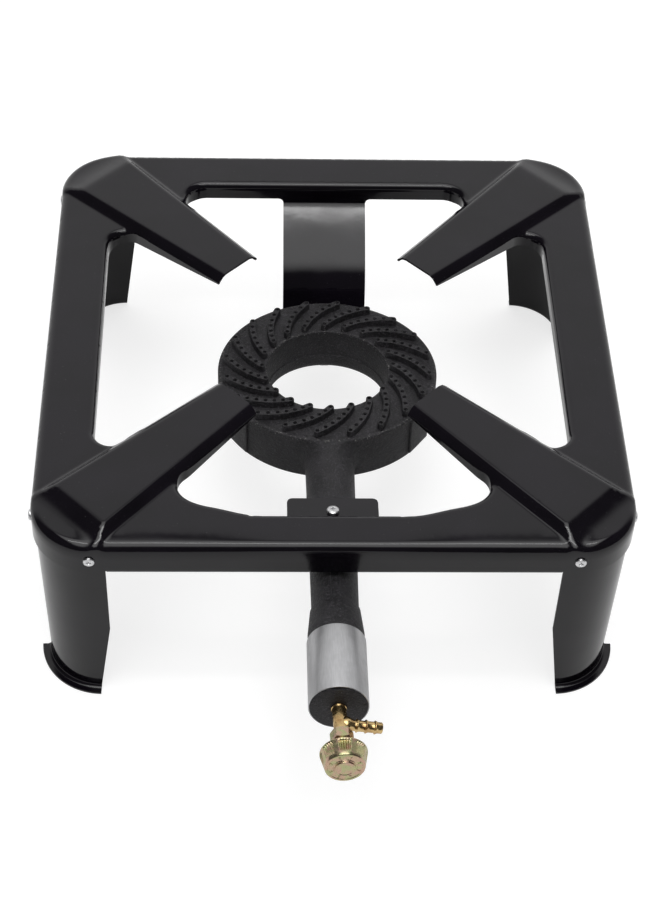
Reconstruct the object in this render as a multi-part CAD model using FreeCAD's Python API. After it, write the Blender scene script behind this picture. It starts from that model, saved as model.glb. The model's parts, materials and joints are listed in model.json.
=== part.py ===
import FreeCAD, Part
import math
import os
from FreeCAD import Placement, Rotation, Vector

# Propane burner stand: a pressed sheet frame on four corner legs, with a cast
# ring burner slung under it and a needle valve at the end of the mixing tube.
# Millimetres, +Z up, -Y is the side with the valve. The floor is Z = 0.

os.makedirs("parts", exist_ok=True)

# Frame pressing
sheet = 1.5
frame_side = 400.0
frame_corner_r = 40.0
rail_top_z = 154.8
rail_width_side = 38.0
rail_width_rear = 36.5
rail_width_front = 30.0
rail_outer_edge_r = 6.6
rail_inner_edge_r = 5.0
opening_corner_r_front = 16.0
opening_corner_r_rear = 13.0
opening_corner_r_side = 12.0
gusset_run = 6.0
skirt_depth = 23.8
flange_depth = 13.3
hem_depth = 27.4
hem_r = 8.0
hem_lip = 2.0
hem_leg_gap = 1.0

# Pot arms, measured along the frame's diagonals
arm_tip_reach = 93.0
arm_tip_half = 14.4
arm_taper = 0.0692
arm_rise = 5.2
arm_flange_tip_depth = 1.3
arm_flange_end_reach = 215.0
arm_flange_fade = 15.0
cap_crease_reach = 236.0
cap_edge_drop = 9.0

# Tab over the mixing tube and tongue under the ring
tab_half_width = 31.0
tab_end_s = 139.5
tab_bend_r = 3.0
tab_end_r = 4.0
tab_gap = 0.3
tongue_half_width = 31.5
tongue_bend_r = 68.0
tongue_lap = 33.0
tongue_end_r = 8.0
tongue_gap = 0.2
root_fillet_r = 4.0

# Legs
leg_sheet = 1.5
leg_gap = 0.3
leg_top_drop = 7.3
leg_flat_run = 10.0
leg_lean = 2.2
leg_foot_width = 6.2
leg_taper_start_z = 66.0
leg_taper_width = 9.0
leg_bend_steps = 8

# Leg screws and nuts
screw_drop = 13.8
screw_from_side = 40.0
screw_shank_r = 1.95
screw_hole_clearance = 0.2
screw_head_r = 3.8
screw_head_h = 2.4
screw_length = 10.0
nut_flats = 7.0
nut_height = 3.2
nut_gap = 0.3
thread_clearance = 0.05

# Burner: place of the middle of the ring's top face, below the rails' top, and its tilt in degrees
burner_y = 11.0
burner_drop = 46.8
burner_tilt = 5.4

# Burner ring
ring_r = 80.0
ring_bore_r = 44.2
ring_bore_step = 2.2
ring_bore_step_depth = 22.0
ring_height = 35.0
ring_edge_bevel = 2.4
ring_floor = 5.0
ring_inner_wall = 2.3
ring_outer_wall = 6.1
pad_angle = 55.0
pad_width = 24.0
pad_height = 29.0
pad_top_depth = 3.5
pad_proud = 0.6
pad_thickness = 6.0

# Burner head plate with its ridges and ports
head_thickness = 4.0
head_rim = 4.5
head_clearance = 0.3
head_seat_gap = 0.1
ridge_count = 20
ridge_height = 5.0
ridge_width = 4.8
ridge_inner_margin = 3.7
ridge_outer_margin = 2.9
ridge_start_angle = 1.3
ridge_sweep = 26.2
port_count = 7
port_width = 2.1
port_sides = 4
ridge_steps = 3

# Mixing tube, measured along its axis from the middle of the ring
tube_axis_depth = 17.5
tube_lap = 3.0
tube_r_ring = 17.3
tube_r_neck = 15.6
flare_s = 229.4
flare_step = 1.1
barrel_s = 250.0
barrel_r = 18.5
plate_s = 312.0
plate_thickness = 4.0
tube_bore_r = 11.4
barrel_wall = 3.9
window_start_s = 281.0
window_length = 22.0
window_height = 18.0

# Burner fixings
tab_screw_s = 153.0
tab_screw_head_r = 4.4
tab_screw_head_h = 2.8
tab_screw_shank_r = 2.4
tab_screw_length = 5.8
tab_hole_clearance = 0.25
ring_bolt_inset = 19.0
ring_bolt_shank_r = 2.95
ring_bolt_length = 14.0
ring_boss_r = 7.0
ring_boss_height = 10.0
bolt_flats = 10.0
bolt_head_h = 4.0
washer_r = 6.2
washer_thickness = 1.2
stack_gap = 0.1

# Air sleeve
sleeve_length = 54.0
sleeve_wall = 0.7
sleeve_clearance = 0.08
sleeve_front_inset = 0.8

# Needle valve, measured forward from the face of the end plate
valve_yaw = 3.0
stub_r = 4.55
nipple_r = 4.0
nipple_length = 11.0
nipple_clearance = 0.45
gas_bore_r = 1.2
valve_chamber_r = 3.0
seat_u = 8.0
guide_u = 16.5
gland_start_u = 20.0
gland_length = 8.0
gland_flats = 13.0
gland_wall = 1.9
gland_clearance = 0.1
spindle_r = 2.0
spindle_clearance = 0.06
needle_length = 4.0
needle_lead = 1.6
needle_tip_r = 0.4
seal_chamber_r = 3.7
seal_end_room = 0.65
seal_width = 1.5
seal_height = 1.5
seal_play = 0.1
seal_start_gap = 0.25
seal_washer_thickness = 0.6
jet_flats = 10.0
jet_length = 8.0
jet_overlap = 4.0
jet_orifice_r = 0.5

# Hose barb, measured out from the valve's axis
barb_u = 13.0
barb_droop = 12.0
barb_root_r = 5.2
barb_root_length = 8.0
barb_stem_r = 3.6
barb_bead_r = 4.35
barb_first_bead = 10.2
barb_bead_pitch = 5.9
barb_bead_count = 3
barb_length = 26.6
barb_bore_r = 1.9
barb_spigot_r = 2.5

# Control knob
knob_travel = 1.5
knob_hub_gap = 1.0
knob_hub_r = 6.5
knob_back_u = 36.0
knob_length = 12.0
knob_back_r = 15.0
knob_front_r = 12.5
knob_wall = 2.4
knob_front_wall = 3.0
knob_boss_r = 6.5
knob_boss_height = 1.2
spindle_end_depth = 2.0
flute_groups = 8
flutes_per_group = 5
flute_pitch = 6.2
flute_depth = 0.7
flute_half_width = 0.62

# Sides of the round things that are small, hidden or slightly tapered
round_sides = 12
barb_sides = 18
tube_sides = 32
chamber_sides = 40

# Sizes that follow from the ones above
half = frame_side / 2
arm_top_z = rail_top_z + arm_rise
skirt_bottom_z = rail_top_z - skirt_depth
flange_bottom_z = rail_top_z - flange_depth
hem_bottom_z = rail_top_z - hem_depth
arm_flange_tip_z = rail_top_z - arm_flange_tip_depth
leg_top_z = rail_top_z - leg_top_drop
screw_z = rail_top_z - screw_drop
burner_z = rail_top_z - burner_drop
corner_axis = half - frame_corner_r
corner_reach = corner_axis * math.sqrt(2) + frame_corner_r
cap_slope = math.atan2(cap_edge_drop, corner_reach - cap_crease_reach)
arm_foot_half = arm_tip_half + arm_rise
far_away = 60.0
leg_opening_half = corner_axis - leg_flat_run
hem_half_length = leg_opening_half - hem_leg_gap
ring_bore_foot_r = ring_bore_r - ring_bore_step
chamber_inner_r = ring_bore_r + ring_inner_wall
chamber_outer_r = ring_r - ring_outer_wall
pad_distance = ring_r + pad_proud
head_r = ring_r - head_rim
ridge_inner_r = ring_bore_r + ridge_inner_margin
ridge_outer_r = head_r - ridge_outer_margin
tube_start_s = ring_r - tube_lap
ring_bolt_s = ring_r - ring_bolt_inset
tongue_end_s = ring_r - tongue_lap
barrel_bore_r = barrel_r - barrel_wall
screw_hole_r = screw_shank_r + screw_hole_clearance
seat_depth = head_thickness + head_seat_gap
knob_front_u = knob_back_u + knob_length
knob_hub_u = gland_start_u + gland_length + knob_hub_gap
neck_end_u = gland_start_u + gland_length - gland_wall - gland_clearance
seal_stack = seal_start_gap + seal_height + stack_gap + seal_washer_thickness
seal_chamber_u = neck_end_u - seal_end_room - knob_travel - seal_stack
up = Vector(0, 0, 1)
forward = Vector(0, -1, 0)
tilt = math.radians(burner_tilt)
burner_place = Placement(Vector(0, burner_y, burner_z), Rotation(Vector(1, 0, 0), -burner_tilt))
valve_place = burner_place.multiply(
    Placement(Vector(0, -plate_s, -tube_axis_depth), Rotation(up, valve_yaw))
)
barb_place = Placement(forward * barb_u, Rotation(Vector(0, 1, 0), barb_droop))


# Small drawing helpers

def path_edges(points, radii):
    """Lines through the points with an arc of the given radius at each inner point."""
    edges = []
    start = points[0]
    for before, corner, after, radius in zip(points, points[1:], points[2:], radii):
        back = (before - corner).normalize()
        ahead = (after - corner).normalize()
        if radius <= 0:
            edges.append(Part.LineSegment(start, corner).toShape())
            start = corner
            continue
        opening = back.getAngle(ahead)
        tangent = radius / math.tan(opening / 2)
        bisector = (back + ahead).normalize()
        arc_start = corner + back * tangent
        arc_end = corner + ahead * tangent
        middle = corner + bisector * (radius / math.sin(opening / 2) - radius)
        if (arc_start - start).Length > 1e-6:
            edges.append(Part.LineSegment(start, arc_start).toShape())
        edges.append(Part.Arc(arc_start, middle, arc_end).toShape())
        start = arc_end
    if (points[-1] - start).Length > 1e-6:
        edges.append(Part.LineSegment(start, points[-1]).toShape())
    return edges


def rounded_face(points, radii):
    """Flat face whose corners are rounded, each by its radius."""
    first = (points[0] + points[-1]) * 0.5
    return Part.Face(Part.Wire(path_edges([first] + points + [first], radii)))


def flat(corners, z):
    return [Vector(x, y, z) for x, y in corners]


def prism(points, along):
    """Straight prism on a polygon of points."""
    return Part.Face(Part.makePolygon(points + [points[0]])).extrude(along)


def offset_path(points, distance):
    """The same open path in the YZ plane, moved sideways by the distance."""
    moved = []
    for index, point in enumerate(points):
        normals = []
        for other in range(max(index - 1, 0), min(index, len(points) - 2) + 1):
            along = (points[other + 1] - points[other]).normalize()
            normals.append(Vector(0, -along.z, along.y))
        mean = (normals[0] + normals[-1]).normalize()
        moved.append(point + mean * (distance / mean.dot(normals[0])))
    return moved


def strip_face(path, radii, thickness):
    """Section of bent sheet: the path of (y, z) points is one side of it, with its bend radii."""
    side = [Vector(0, y, z) for y, z in path]
    other = offset_path(side, thickness)
    other_radii = []
    for before, corner, after, radius in zip(side, side[1:], side[2:], radii):
        turn = (corner - before).cross(after - corner).x
        other_radii.append(radius - thickness if turn > 0 else radius + thickness)
    edges = path_edges(side, radii)
    edges.append(Part.LineSegment(side[-1], other[-1]).toShape())
    edges += path_edges(other[::-1], other_radii[::-1])
    edges.append(Part.LineSegment(other[0], side[0]).toShape())
    return Part.Face(Part.Wire(edges))


def bent_strip(path, radii, thickness, half_width):
    """Bent sheet of an even width, centred on the YZ plane."""
    section = strip_face(path, radii, thickness)
    section.translate(Vector(-half_width, 0, 0))
    return section.extrude(Vector(2 * half_width, 0, 0))


def revolved(outline, axis=up):
    """Solid of revolution about an axis through the origin, from (radius, height) points."""
    side = axis.cross(up if abs(axis.x) > 0.5 else Vector(1, 0, 0)).normalize()
    points = [side * radius + axis * height for radius, height in outline]
    return Part.Face(Part.makePolygon(points + [points[0]])).revolve(Vector(0, 0, 0), axis, 360)


def ring_outline(inner_r, outer_r, low, high):
    return [(inner_r, low), (outer_r, low), (outer_r, high), (inner_r, high)]


def bar(flats, height, base=Vector(0, 0, 0), axis=up, sides=6):
    """Regular prism measured across its flats, from base along axis.

    Small round things that repeat are also bars with many sides, to keep their faces few.
    """
    corner_r = flats / 2 / math.cos(math.pi / sides)
    angles = [2 * math.pi * index / sides for index in range(sides)]
    points = [Vector(corner_r * math.cos(a), corner_r * math.sin(a), 0) for a in angles]
    solid = prism(points, up * height)
    solid.Placement = Placement(base, Rotation(up, axis))
    return solid


def prismatoid(near, far):
    """Flat-faced solid between two matching sections."""
    rings = [near + [near[0]], far + [far[0]]]
    for index, corner in enumerate(near):
        after = (index + 1) % len(near)
        rings.append([corner, near[after], far[after], far[index], corner])
    solid = Part.Solid(Part.Shell([Part.Face(Part.makePolygon(ring)) for ring in rings]))
    if solid.Volume < 0:
        solid.reverse()
    return solid


def line_meet(point, along, other, other_along):
    """Where two lines in plan cross, each given by a point and a direction."""
    cross = along[0] * other_along[1] - along[1] * other_along[0]
    gap = (other[0] - point[0], other[1] - point[1])
    reach = (gap[0] * other_along[1] - gap[1] * other_along[0]) / cross
    return (point[0] + along[0] * reach, point[1] + along[1] * reach)


def turned(shape, degrees):
    """Copy of a shape turned about the frame's upright middle axis."""
    copy = shape.copy()
    copy.rotate(Vector(0, 0, 0), up, degrees)
    return copy


def four_sides(shape):
    return [turned(shape, 90 * side) for side in range(4)]


def placed(shape, place):
    copy = shape.copy()
    copy.Placement = place.multiply(copy.Placement)
    return copy


# Frame pressing

def on_diagonal(corner, reach, across, z=0.0):
    """Point at a reach along a corner's diagonal and a distance across it."""
    angle = math.radians(45 + 90 * corner)
    out = Vector(math.cos(angle), math.sin(angle), 0)
    side = Vector(-math.sin(angle), math.cos(angle), 0)
    return out * reach + side * across + up * z


def arm_half_width(reach):
    """Half width of an arm at the foot of its sloping walls."""
    return arm_foot_half + arm_taper * (reach - arm_tip_reach)


def square_face(inset, z):
    reach = half - inset
    corners = [(reach, -reach), (reach, reach), (-reach, reach), (-reach, -reach)]
    return rounded_face(flat(corners, z), [frame_corner_r - inset] * 4)


def opening_face(inset, z):
    """Opening between the rails, with the corners rounded towards the arms."""
    side_line = half - rail_width_side + inset
    rear_line = half - rail_width_rear + inset
    front_line = half - rail_width_front + inset
    right = ((side_line, 0), (0, 1), opening_corner_r_side + inset)
    rear = ((0, rear_line), (1, 0), opening_corner_r_rear + inset)
    left = ((-side_line, 0), (0, 1), opening_corner_r_side + inset)
    front = ((0, -front_line), (1, 0), opening_corner_r_front + inset)
    corners = []
    radii = []
    for corner, rails in enumerate(((right, rear), (rear, left), (left, front), (front, right))):
        meets = []
        reaches = []
        for (point, along, radius), sign in zip(rails, (-1, 1)):
            near = on_diagonal(corner, arm_tip_reach, sign * (arm_half_width(arm_tip_reach) - inset))
            far = on_diagonal(corner, corner_reach, sign * (arm_half_width(corner_reach) - inset))
            meet = line_meet(point, along, (near.x, near.y), (far.x - near.x, far.y - near.y))
            meets.append(meet)
            tangent = radius / math.tan(math.radians(45 - math.degrees(math.atan(arm_taper))) / 2)
            reaches.append(Vector(*meet, 0).dot(on_diagonal(corner, 1, 0)) - tangent)
        gusset = min(reaches) - gusset_run
        ends = [on_diagonal(corner, gusset, sign * (arm_half_width(gusset) - inset)) for sign in (-1, 1)]
        corners += [meets[0]] + [(end.x, end.y) for end in ends] + [meets[1]]
        radii += [rails[0][2], 0, 0, rails[1][2]]
    return rounded_face(flat(corners, z), radii)


def arm_body(corner, inset, low):
    """One raised arm with sloping walls, from its tip to past the corner of the frame."""
    slope_shift = inset * math.tan(math.radians(22.5))
    shoulder = rail_top_z - slope_shift
    sections = []
    for reach in (arm_tip_reach - (far_away if inset else 0), corner_reach + far_away):
        foot = arm_half_width(reach) - inset
        crown = arm_half_width(reach) - arm_rise - slope_shift
        top = arm_top_z - inset
        outline = [(foot, low), (foot, shoulder), (crown, top),
                   (-crown, top), (-foot, shoulder), (-foot, low)]
        sections.append([on_diagonal(corner, reach, across, z) for across, z in outline])
    return prismatoid(*sections)


def above_cap(corner, inset):
    """Everything above the sloping cap of one corner, to be cut away."""
    outward = on_diagonal(corner, 1, 0)
    downhill = outward * math.cos(cap_slope) - up * math.sin(cap_slope)
    normal = outward * math.sin(cap_slope) + up * math.cos(cap_slope)
    across = normal.cross(downhill)
    crease = on_diagonal(corner, cap_crease_reach, 0, arm_top_z) - normal * inset
    start = crease - downhill * far_away - across * 2 * far_away
    ring = [start, start + downhill * 4 * far_away]
    ring += [ring[1] + across * 4 * far_away, start + across * 4 * far_away]
    return prism(ring, normal * far_away)


def is_diagonal(edge):
    """True for the straight edges that run along or across an arm."""
    along = edge.tangentAt(edge.FirstParameter)
    return edge.Curve.TypeId == "Part::GeomLine" and min(abs(along.x), abs(along.y)) > 0.3


def pressing_body(inset):
    """The pressing's outside as a solid, moved inwards by the inset."""
    top = rail_top_z - inset
    low = skirt_bottom_z - (far_away if inset else 0)
    height = up * (top - low)
    slab = square_face(inset, low).extrude(height).cut(opening_face(inset, low).extrude(height))
    lip_reach = half - min(rail_width_front, rail_width_rear, rail_width_side) + inset + 0.5
    for radius, inner in ((rail_outer_edge_r, False), (rail_inner_edge_r, True)):
        chosen = []
        for edge in slab.Edges:
            middle = edge.valueAt((edge.FirstParameter + edge.LastParameter) / 2)
            is_inner = max(abs(middle.x), abs(middle.y)) < lip_reach
            if edge.BoundBox.ZMin > top - 0.01 and is_inner == inner and not is_diagonal(edge):
                chosen.append(edge)
        if inset or inner:
            slab = slab.makeChamfer((radius - inset) * (2 - math.sqrt(2)), chosen)
        else:
            slab = slab.makeFillet(radius, chosen)
    bound = square_face(inset, low).extrude(up * (arm_top_z - low))
    slab = slab.fuse([arm_body(corner, inset, low).common(bound) for corner in range(4)])
    return slab.cut([above_cap(corner, inset) for corner in range(4)])


def flange_trim():
    """What is cut away below the inner flange, sloping up under each arm."""
    low = skirt_bottom_z - far_away
    trim = square_face(hem_r + hem_lip + 2 * sheet, low).extrude(up * (flange_bottom_z - low))
    wide = arm_half_width(arm_flange_end_reach) + arm_flange_fade
    narrow = arm_half_width(arm_flange_end_reach)
    start = arm_tip_reach - sheet
    wedges = []
    for corner in range(4):
        slope = [(start, low), (start, arm_flange_tip_z), (arm_flange_end_reach, flange_bottom_z),
                 (arm_flange_end_reach, low)]
        across = on_diagonal(corner, 0, 2 * wide)
        wedge = prism([on_diagonal(corner, reach, -wide, z) for reach, z in slope], across)
        fade = [(-wide, low), (-wide, flange_bottom_z), (-narrow, arm_flange_tip_z),
                (narrow, arm_flange_tip_z), (wide, flange_bottom_z), (wide, low)]
        along = on_diagonal(corner, arm_flange_end_reach, 0)
        wedges.append(wedge.common(prism([on_diagonal(corner, 0, a, z) for a, z in fade], along)))
    kept = []
    for width, line in ((tab_half_width, rail_width_front - half),
                        (tongue_half_width, half - rail_width_rear)):
        edge = width + 2 * root_fillet_r
        stem = flange_bottom_z - 1.5 * root_fillet_r
        outline = [(-edge, flange_bottom_z + 1), (-edge, flange_bottom_z), (-width, flange_bottom_z),
                   (-width, stem), (width, stem), (width, flange_bottom_z), (edge, flange_bottom_z),
                   (edge, flange_bottom_z + 1)]
        points = [Vector(x, line - 2 * sheet, z) for x, z in outline]
        face = rounded_face(points, [0, 0, root_fillet_r, 0, 0, root_fillet_r, 0, 0])
        kept.append(face.extrude(Vector(0, 4 * sheet, 0)))
    return trim.fuse(wedges).cut(kept)


def burner_point(s, depth):
    """(y, z) of a point on the burner's middle plane, forward by s and below its top face."""
    y = burner_y - s * math.cos(tilt) - depth * math.sin(tilt)
    z = burner_z + s * math.sin(tilt) - depth * math.cos(tilt)
    return y, z


def tube_radius(s):
    """Outside radius of the plain part of the mixing tube."""
    share = (s - tube_start_s) / (flare_s - tube_start_s)
    return tube_r_ring + (tube_r_neck - tube_r_ring) * share


# The tab lies on the tube at the tab's end; the tongue lies under the ring
tab_depth = tube_axis_depth - tube_radius(tab_end_s) - tab_gap - sheet
tongue_depth = ring_height + tongue_gap


def on_plane_at(y, depth):
    """Z of the burner-parallel plane at a depth, above a given y."""
    s = (burner_y - y - depth * math.sin(tilt)) / math.cos(tilt)
    return burner_point(s, depth)[1]


def front_tab():
    line = -half + rail_width_front
    path = [burner_point(tab_end_s, tab_depth), (line, on_plane_at(line, tab_depth)),
            (line, rail_top_z - rail_inner_edge_r)]
    strip = bent_strip(path, [tab_bend_r], sheet, tab_half_width)
    end_y = path[0][0]
    corners = [(-tab_half_width, end_y), (tab_half_width, end_y),
               (tab_half_width, line - 2 * sheet), (-tab_half_width, line - 2 * sheet)]
    plan = rounded_face(flat(corners, 0), [tab_end_r, tab_end_r, 0, 0])
    return strip.common(plan.extrude(up * 2 * rail_top_z))


def rear_tongue():
    line = half - rail_width_rear
    path = [(line, rail_top_z - rail_inner_edge_r), (line, on_plane_at(line, tongue_depth)),
            burner_point(-tongue_end_s, tongue_depth)]
    strip = bent_strip(path, [tongue_bend_r], sheet, tongue_half_width)
    end_y = path[2][0]
    corners = [(-tongue_half_width, end_y), (tongue_half_width, end_y),
               (tongue_half_width, line + 2 * sheet), (-tongue_half_width, line + 2 * sheet)]
    plan = rounded_face(flat(corners, 0), [tongue_end_r, tongue_end_r, 0, 0])
    return strip.common(plan.extrude(up * 2 * rail_top_z))


def screw_axes():
    """Seat points on the skirt and inward directions of the eight leg screws."""
    seats = []
    for side in range(4):
        for x in (-half + screw_from_side, half - screw_from_side):
            turn = Rotation(up, 90 * side)
            seats.append((turn.multVec(Vector(x, -half, screw_z)), turn.multVec(Vector(0, 1, 0))))
    return seats


def screw_holes():
    depth = 10 * sheet
    return [bar(2 * screw_hole_r, depth, seat - inward * sheet, inward, round_sides)
            for seat, inward in screw_axes()]


def build_top_frame():
    shell = pressing_body(0).cut(pressing_body(sheet))
    shell = shell.cut(flange_trim())
    hem_start_z = hem_bottom_z + hem_r
    slot = Part.makeBox(2 * hem_half_length, 4 * sheet, hem_start_z - skirt_bottom_z + sheet)
    slot.translate(Vector(-hem_half_length, -half - sheet, skirt_bottom_z - sheet))
    shell = shell.cut(four_sides(slot))
    path = [(-half, hem_start_z + sheet), (-half, hem_bottom_z), (-half + hem_r + hem_lip, hem_bottom_z)]
    hem = bent_strip(path, [hem_r], sheet, hem_half_length)
    shell = shell.fuse(four_sides(hem) + [front_tab(), rear_tongue()])
    holes = screw_holes()
    for s, radius in ((tab_screw_s, tab_screw_shank_r), (-ring_bolt_s, ring_bolt_shank_r)):
        drill = Part.makeCylinder(radius + tab_hole_clearance, 2 * ring_height)
        drill.translate(Vector(0, -s, -tongue_depth - 3 * sheet if s < 0 else -tab_depth - 3 * sheet))
        holes.append(placed(drill, burner_place))
    return shell.cut(holes).removeSplitter()


# Legs

def leg_band(inner_r, outer_r, axis_x, low, high, shift):
    """Quarter bend with a flat strip at each end, rising from low to high with a sideways shift."""
    points = []
    for radius, order in ((outer_r, 1), (inner_r, -1)):
        steps = [math.pi / 2 * index / leg_bend_steps for index in range(leg_bend_steps + 1)]
        arc = [(axis_x + radius * math.cos(a), axis_x + radius * math.sin(a)) for a in steps]
        arc = [(arc[0][0], leg_opening_half)] + arc + [(leg_opening_half, arc[-1][1])]
        points += arc[::order]
    return prism(flat(points, low), Vector(shift, shift, high - low))


def build_leg():
    """Leg of the rear right corner, leaning in towards its foot."""
    outer_r = frame_corner_r - sheet - leg_gap
    foot_axis = corner_axis - leg_lean
    wall = leg_band(outer_r - leg_sheet, outer_r, foot_axis, 0, leg_top_z, leg_lean)
    foot = leg_band(outer_r - leg_sheet, outer_r + leg_foot_width, foot_axis, 0, leg_sheet, 0)
    foot_x = leg_opening_half + leg_taper_width
    trim = prism([Vector(leg_opening_half - far_away, 0, leg_taper_start_z),
                  Vector(leg_opening_half, 0, leg_taper_start_z), Vector(foot_x, 0, 0),
                  Vector(foot_x, 0, -1), Vector(leg_opening_half - far_away, 0, -1)],
                 Vector(0, frame_side, 0))
    edge = Part.makeBox(far_away, frame_side, frame_side, Vector(leg_opening_half - far_away, 0, 0))
    cuts = [trim, edge]
    cuts += [cut.mirror(Vector(0, 0, 0), Vector(1, -1, 0)) for cut in cuts]
    return wall.fuse(foot).cut(cuts + screw_holes())


def build_legs():
    leg = build_leg()
    names = ("leg_rear_right", "leg_rear_left", "leg_front_left", "leg_front_right")
    return {name: turned(leg, 90 * corner) for corner, name in enumerate(names)}


# Screws and nuts

def pan_screw(head_r, head_h, shank_r, length):
    """Pan-head screw along +Z: the head's seat is at 0 and the shank points down."""
    rings = []
    for radius, z in ((head_r, 0), (head_r, head_h / 2), (head_r / 2, head_h)):
        angles = [2 * math.pi * index / round_sides for index in range(round_sides)]
        rings.append([Vector(radius * math.cos(a), radius * math.sin(a), z) for a in angles])
    head = prismatoid(rings[0], rings[1]).fuse(prismatoid(rings[1], rings[2]))
    return head.fuse(bar(2 * shank_r, length, up * -length, sides=round_sides)).removeSplitter()


def build_leg_screws():
    screw = pan_screw(screw_head_r, screw_head_h, screw_shank_r, screw_length)
    return Part.makeCompound(
        [placed(screw, Placement(seat, Rotation(up, inward * -1))) for seat, inward in screw_axes()]
    )


def build_leg_nuts():
    lean = leg_lean * (leg_top_z - screw_z + nut_flats) / leg_top_z
    depth = sheet + leg_gap + leg_sheet + lean + nut_gap
    bore = bar(2 * (screw_shank_r / math.cos(math.pi / round_sides) + thread_clearance), nut_height)
    nut = bar(nut_flats, nut_height).cut(bore)
    return Part.makeCompound(
        [placed(nut, Placement(seat + inward * depth, Rotation(up, inward))) for seat, inward in screw_axes()]
    )


# Burner castings, in their own frame: top face at Z = 0, mixing tube along -Y

def ring_shape():
    outline = [(ring_bore_foot_r, -ring_height), (ring_r, -ring_height), (ring_r, -ring_edge_bevel),
               (ring_r - ring_edge_bevel, 0), (ring_bore_r, 0), (ring_bore_r, -ring_bore_step_depth),
               (ring_bore_foot_r, -ring_bore_step_depth)]
    return revolved(outline)


def along_tube(shape):
    shape.translate(up * -tube_axis_depth)
    return shape


def tube_shape():
    outline = [(tube_r_ring, tube_start_s), (tube_r_neck, flare_s),
               (tube_r_neck + flare_step, flare_s + flare_step), (barrel_r, barrel_s)]
    barrel = Part.makeCylinder(barrel_r, plate_s - barrel_s, forward * barrel_s, forward)
    return along_tube(faceted(outline, forward, tube_sides).fuse(barrel))


def tube_passage():
    start = chamber_outer_r - 2 * ring_floor
    end = plate_s - plate_thickness
    bore = bar(2 * tube_bore_r, end - start, forward * start, forward, round_sides)
    wide = bar(2 * barrel_bore_r, end - barrel_s, forward * barrel_s, forward, 2 * round_sides)
    hole = Part.makeCylinder(nipple_r + nipple_clearance, 2 * plate_thickness,
                             forward * (plate_s - 1.5 * plate_thickness), forward)
    return along_tube(bore.fuse([wide, hole]))


def ring_chamber():
    """Hollow of the ring under the head plate."""
    foot = up * (ring_floor - ring_height)
    outer = bar(2 * chamber_outer_r, ring_height, foot, sides=chamber_sides)
    return outer.cut(bar(2 * chamber_inner_r, ring_height, foot, sides=chamber_sides))


def air_windows():
    """Openings in both sides of the barrel, behind the end plate."""
    low = window_start_s
    high = window_start_s + window_length
    reach = window_height / 2
    points = [Vector(-2 * barrel_r, -low, -reach), Vector(-2 * barrel_r, -high, -reach),
              Vector(-2 * barrel_r, -high, reach), Vector(-2 * barrel_r, -low, reach)]
    return along_tube(prism(points, Vector(4 * barrel_r, 0, 0)))


def side_pad(sign):
    """Flat cast pad on the ring's outer wall."""
    pad = Part.makeBox(pad_width, pad_thickness, pad_height)
    pad.translate(Vector(-pad_width / 2, -pad_distance, -pad_top_depth - pad_height))
    return turned(pad, sign * pad_angle)


def build_burner_body():
    body = ring_shape().fuse([tube_shape(), side_pad(-1), side_pad(1)])
    rebate = Part.makeCylinder(head_r + head_clearance, seat_depth + 1, Vector(0, 0, -seat_depth))
    body = body.cut([ring_chamber(), rebate, tube_passage(), air_windows()])
    floor_z = ring_floor - ring_height
    boss = Part.makeCylinder(ring_boss_r, ring_boss_height, Vector(0, ring_bolt_s, floor_z))
    hole = Part.makeCylinder(ring_bolt_shank_r + thread_clearance, ring_height - tube_axis_depth,
                             Vector(0, ring_bolt_s, -ring_height - 1))
    tab_hole_depth = tab_depth + sheet + tab_screw_length
    tab_hole = Part.makeCylinder(tab_screw_shank_r + thread_clearance, tab_hole_depth,
                                 Vector(0, -tab_screw_s, -tab_hole_depth))
    body = body.fuse(boss).cut([hole, tab_hole]).removeSplitter()
    return placed(body, burner_place)


def ridge_point(share, across=0.0):
    """Point on a ridge's spiral, from its inner end at 0 to its outer end at 1."""
    radius = ridge_inner_r + (ridge_outer_r - ridge_inner_r) * share
    angle = math.radians(ridge_start_angle - ridge_sweep * share)
    along = Vector(math.cos(angle), math.sin(angle), 0) * (ridge_outer_r - ridge_inner_r)
    along += Vector(-math.sin(angle), math.cos(angle), 0) * (-math.radians(ridge_sweep) * radius)
    side = along.cross(up).normalize()
    return Vector(radius * math.cos(angle), radius * math.sin(angle), 0) + side * across


def ridge():
    """One curved ridge with blunt pointed ends, standing on the head plate."""
    reach = ridge_width / 2
    shares = [index / ridge_steps for index in range(ridge_steps + 1)]
    points = []
    for sign, order in ((1, 1), (-1, -1)):
        points += [ridge_point(share, sign * reach) for share in shares][::order]
        end = ridge_point(max(order, 0))
        outward = (end - ridge_point(0.5 + 0.4 * order)).normalize() * reach
        points += [outward + ridge_point(max(order, 0), side * reach / 2) for side in (sign, -sign)]
    low = up * (-head_thickness / 2)
    return prism([point + low for point in points], up * (ridge_height + head_thickness / 2))


def build_burner_head():
    plate = revolved(ring_outline(ring_bore_r, head_r, -head_thickness, 0))
    turns = [360 / ridge_count * index for index in range(ridge_count)]
    one_ridge = ridge()
    head = plate.fuse([turned(one_ridge, turn) for turn in turns])
    ports = []
    for index in range(port_count):
        foot = ridge_point(index / (port_count - 1)) - up * 2 * head_thickness
        ports.append(bar(port_width, ridge_height + 3 * head_thickness, foot, sides=port_sides))
    holes = [turned(port, turn) for turn in turns for port in ports]
    return placed(head.cut(Part.makeCompound(holes)), burner_place)


def build_tab_screw():
    screw = pan_screw(tab_screw_head_r, tab_screw_head_h, tab_screw_shank_r, tab_screw_length)
    screw.translate(Vector(0, -tab_screw_s, -tab_depth))
    return placed(screw, burner_place)


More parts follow.
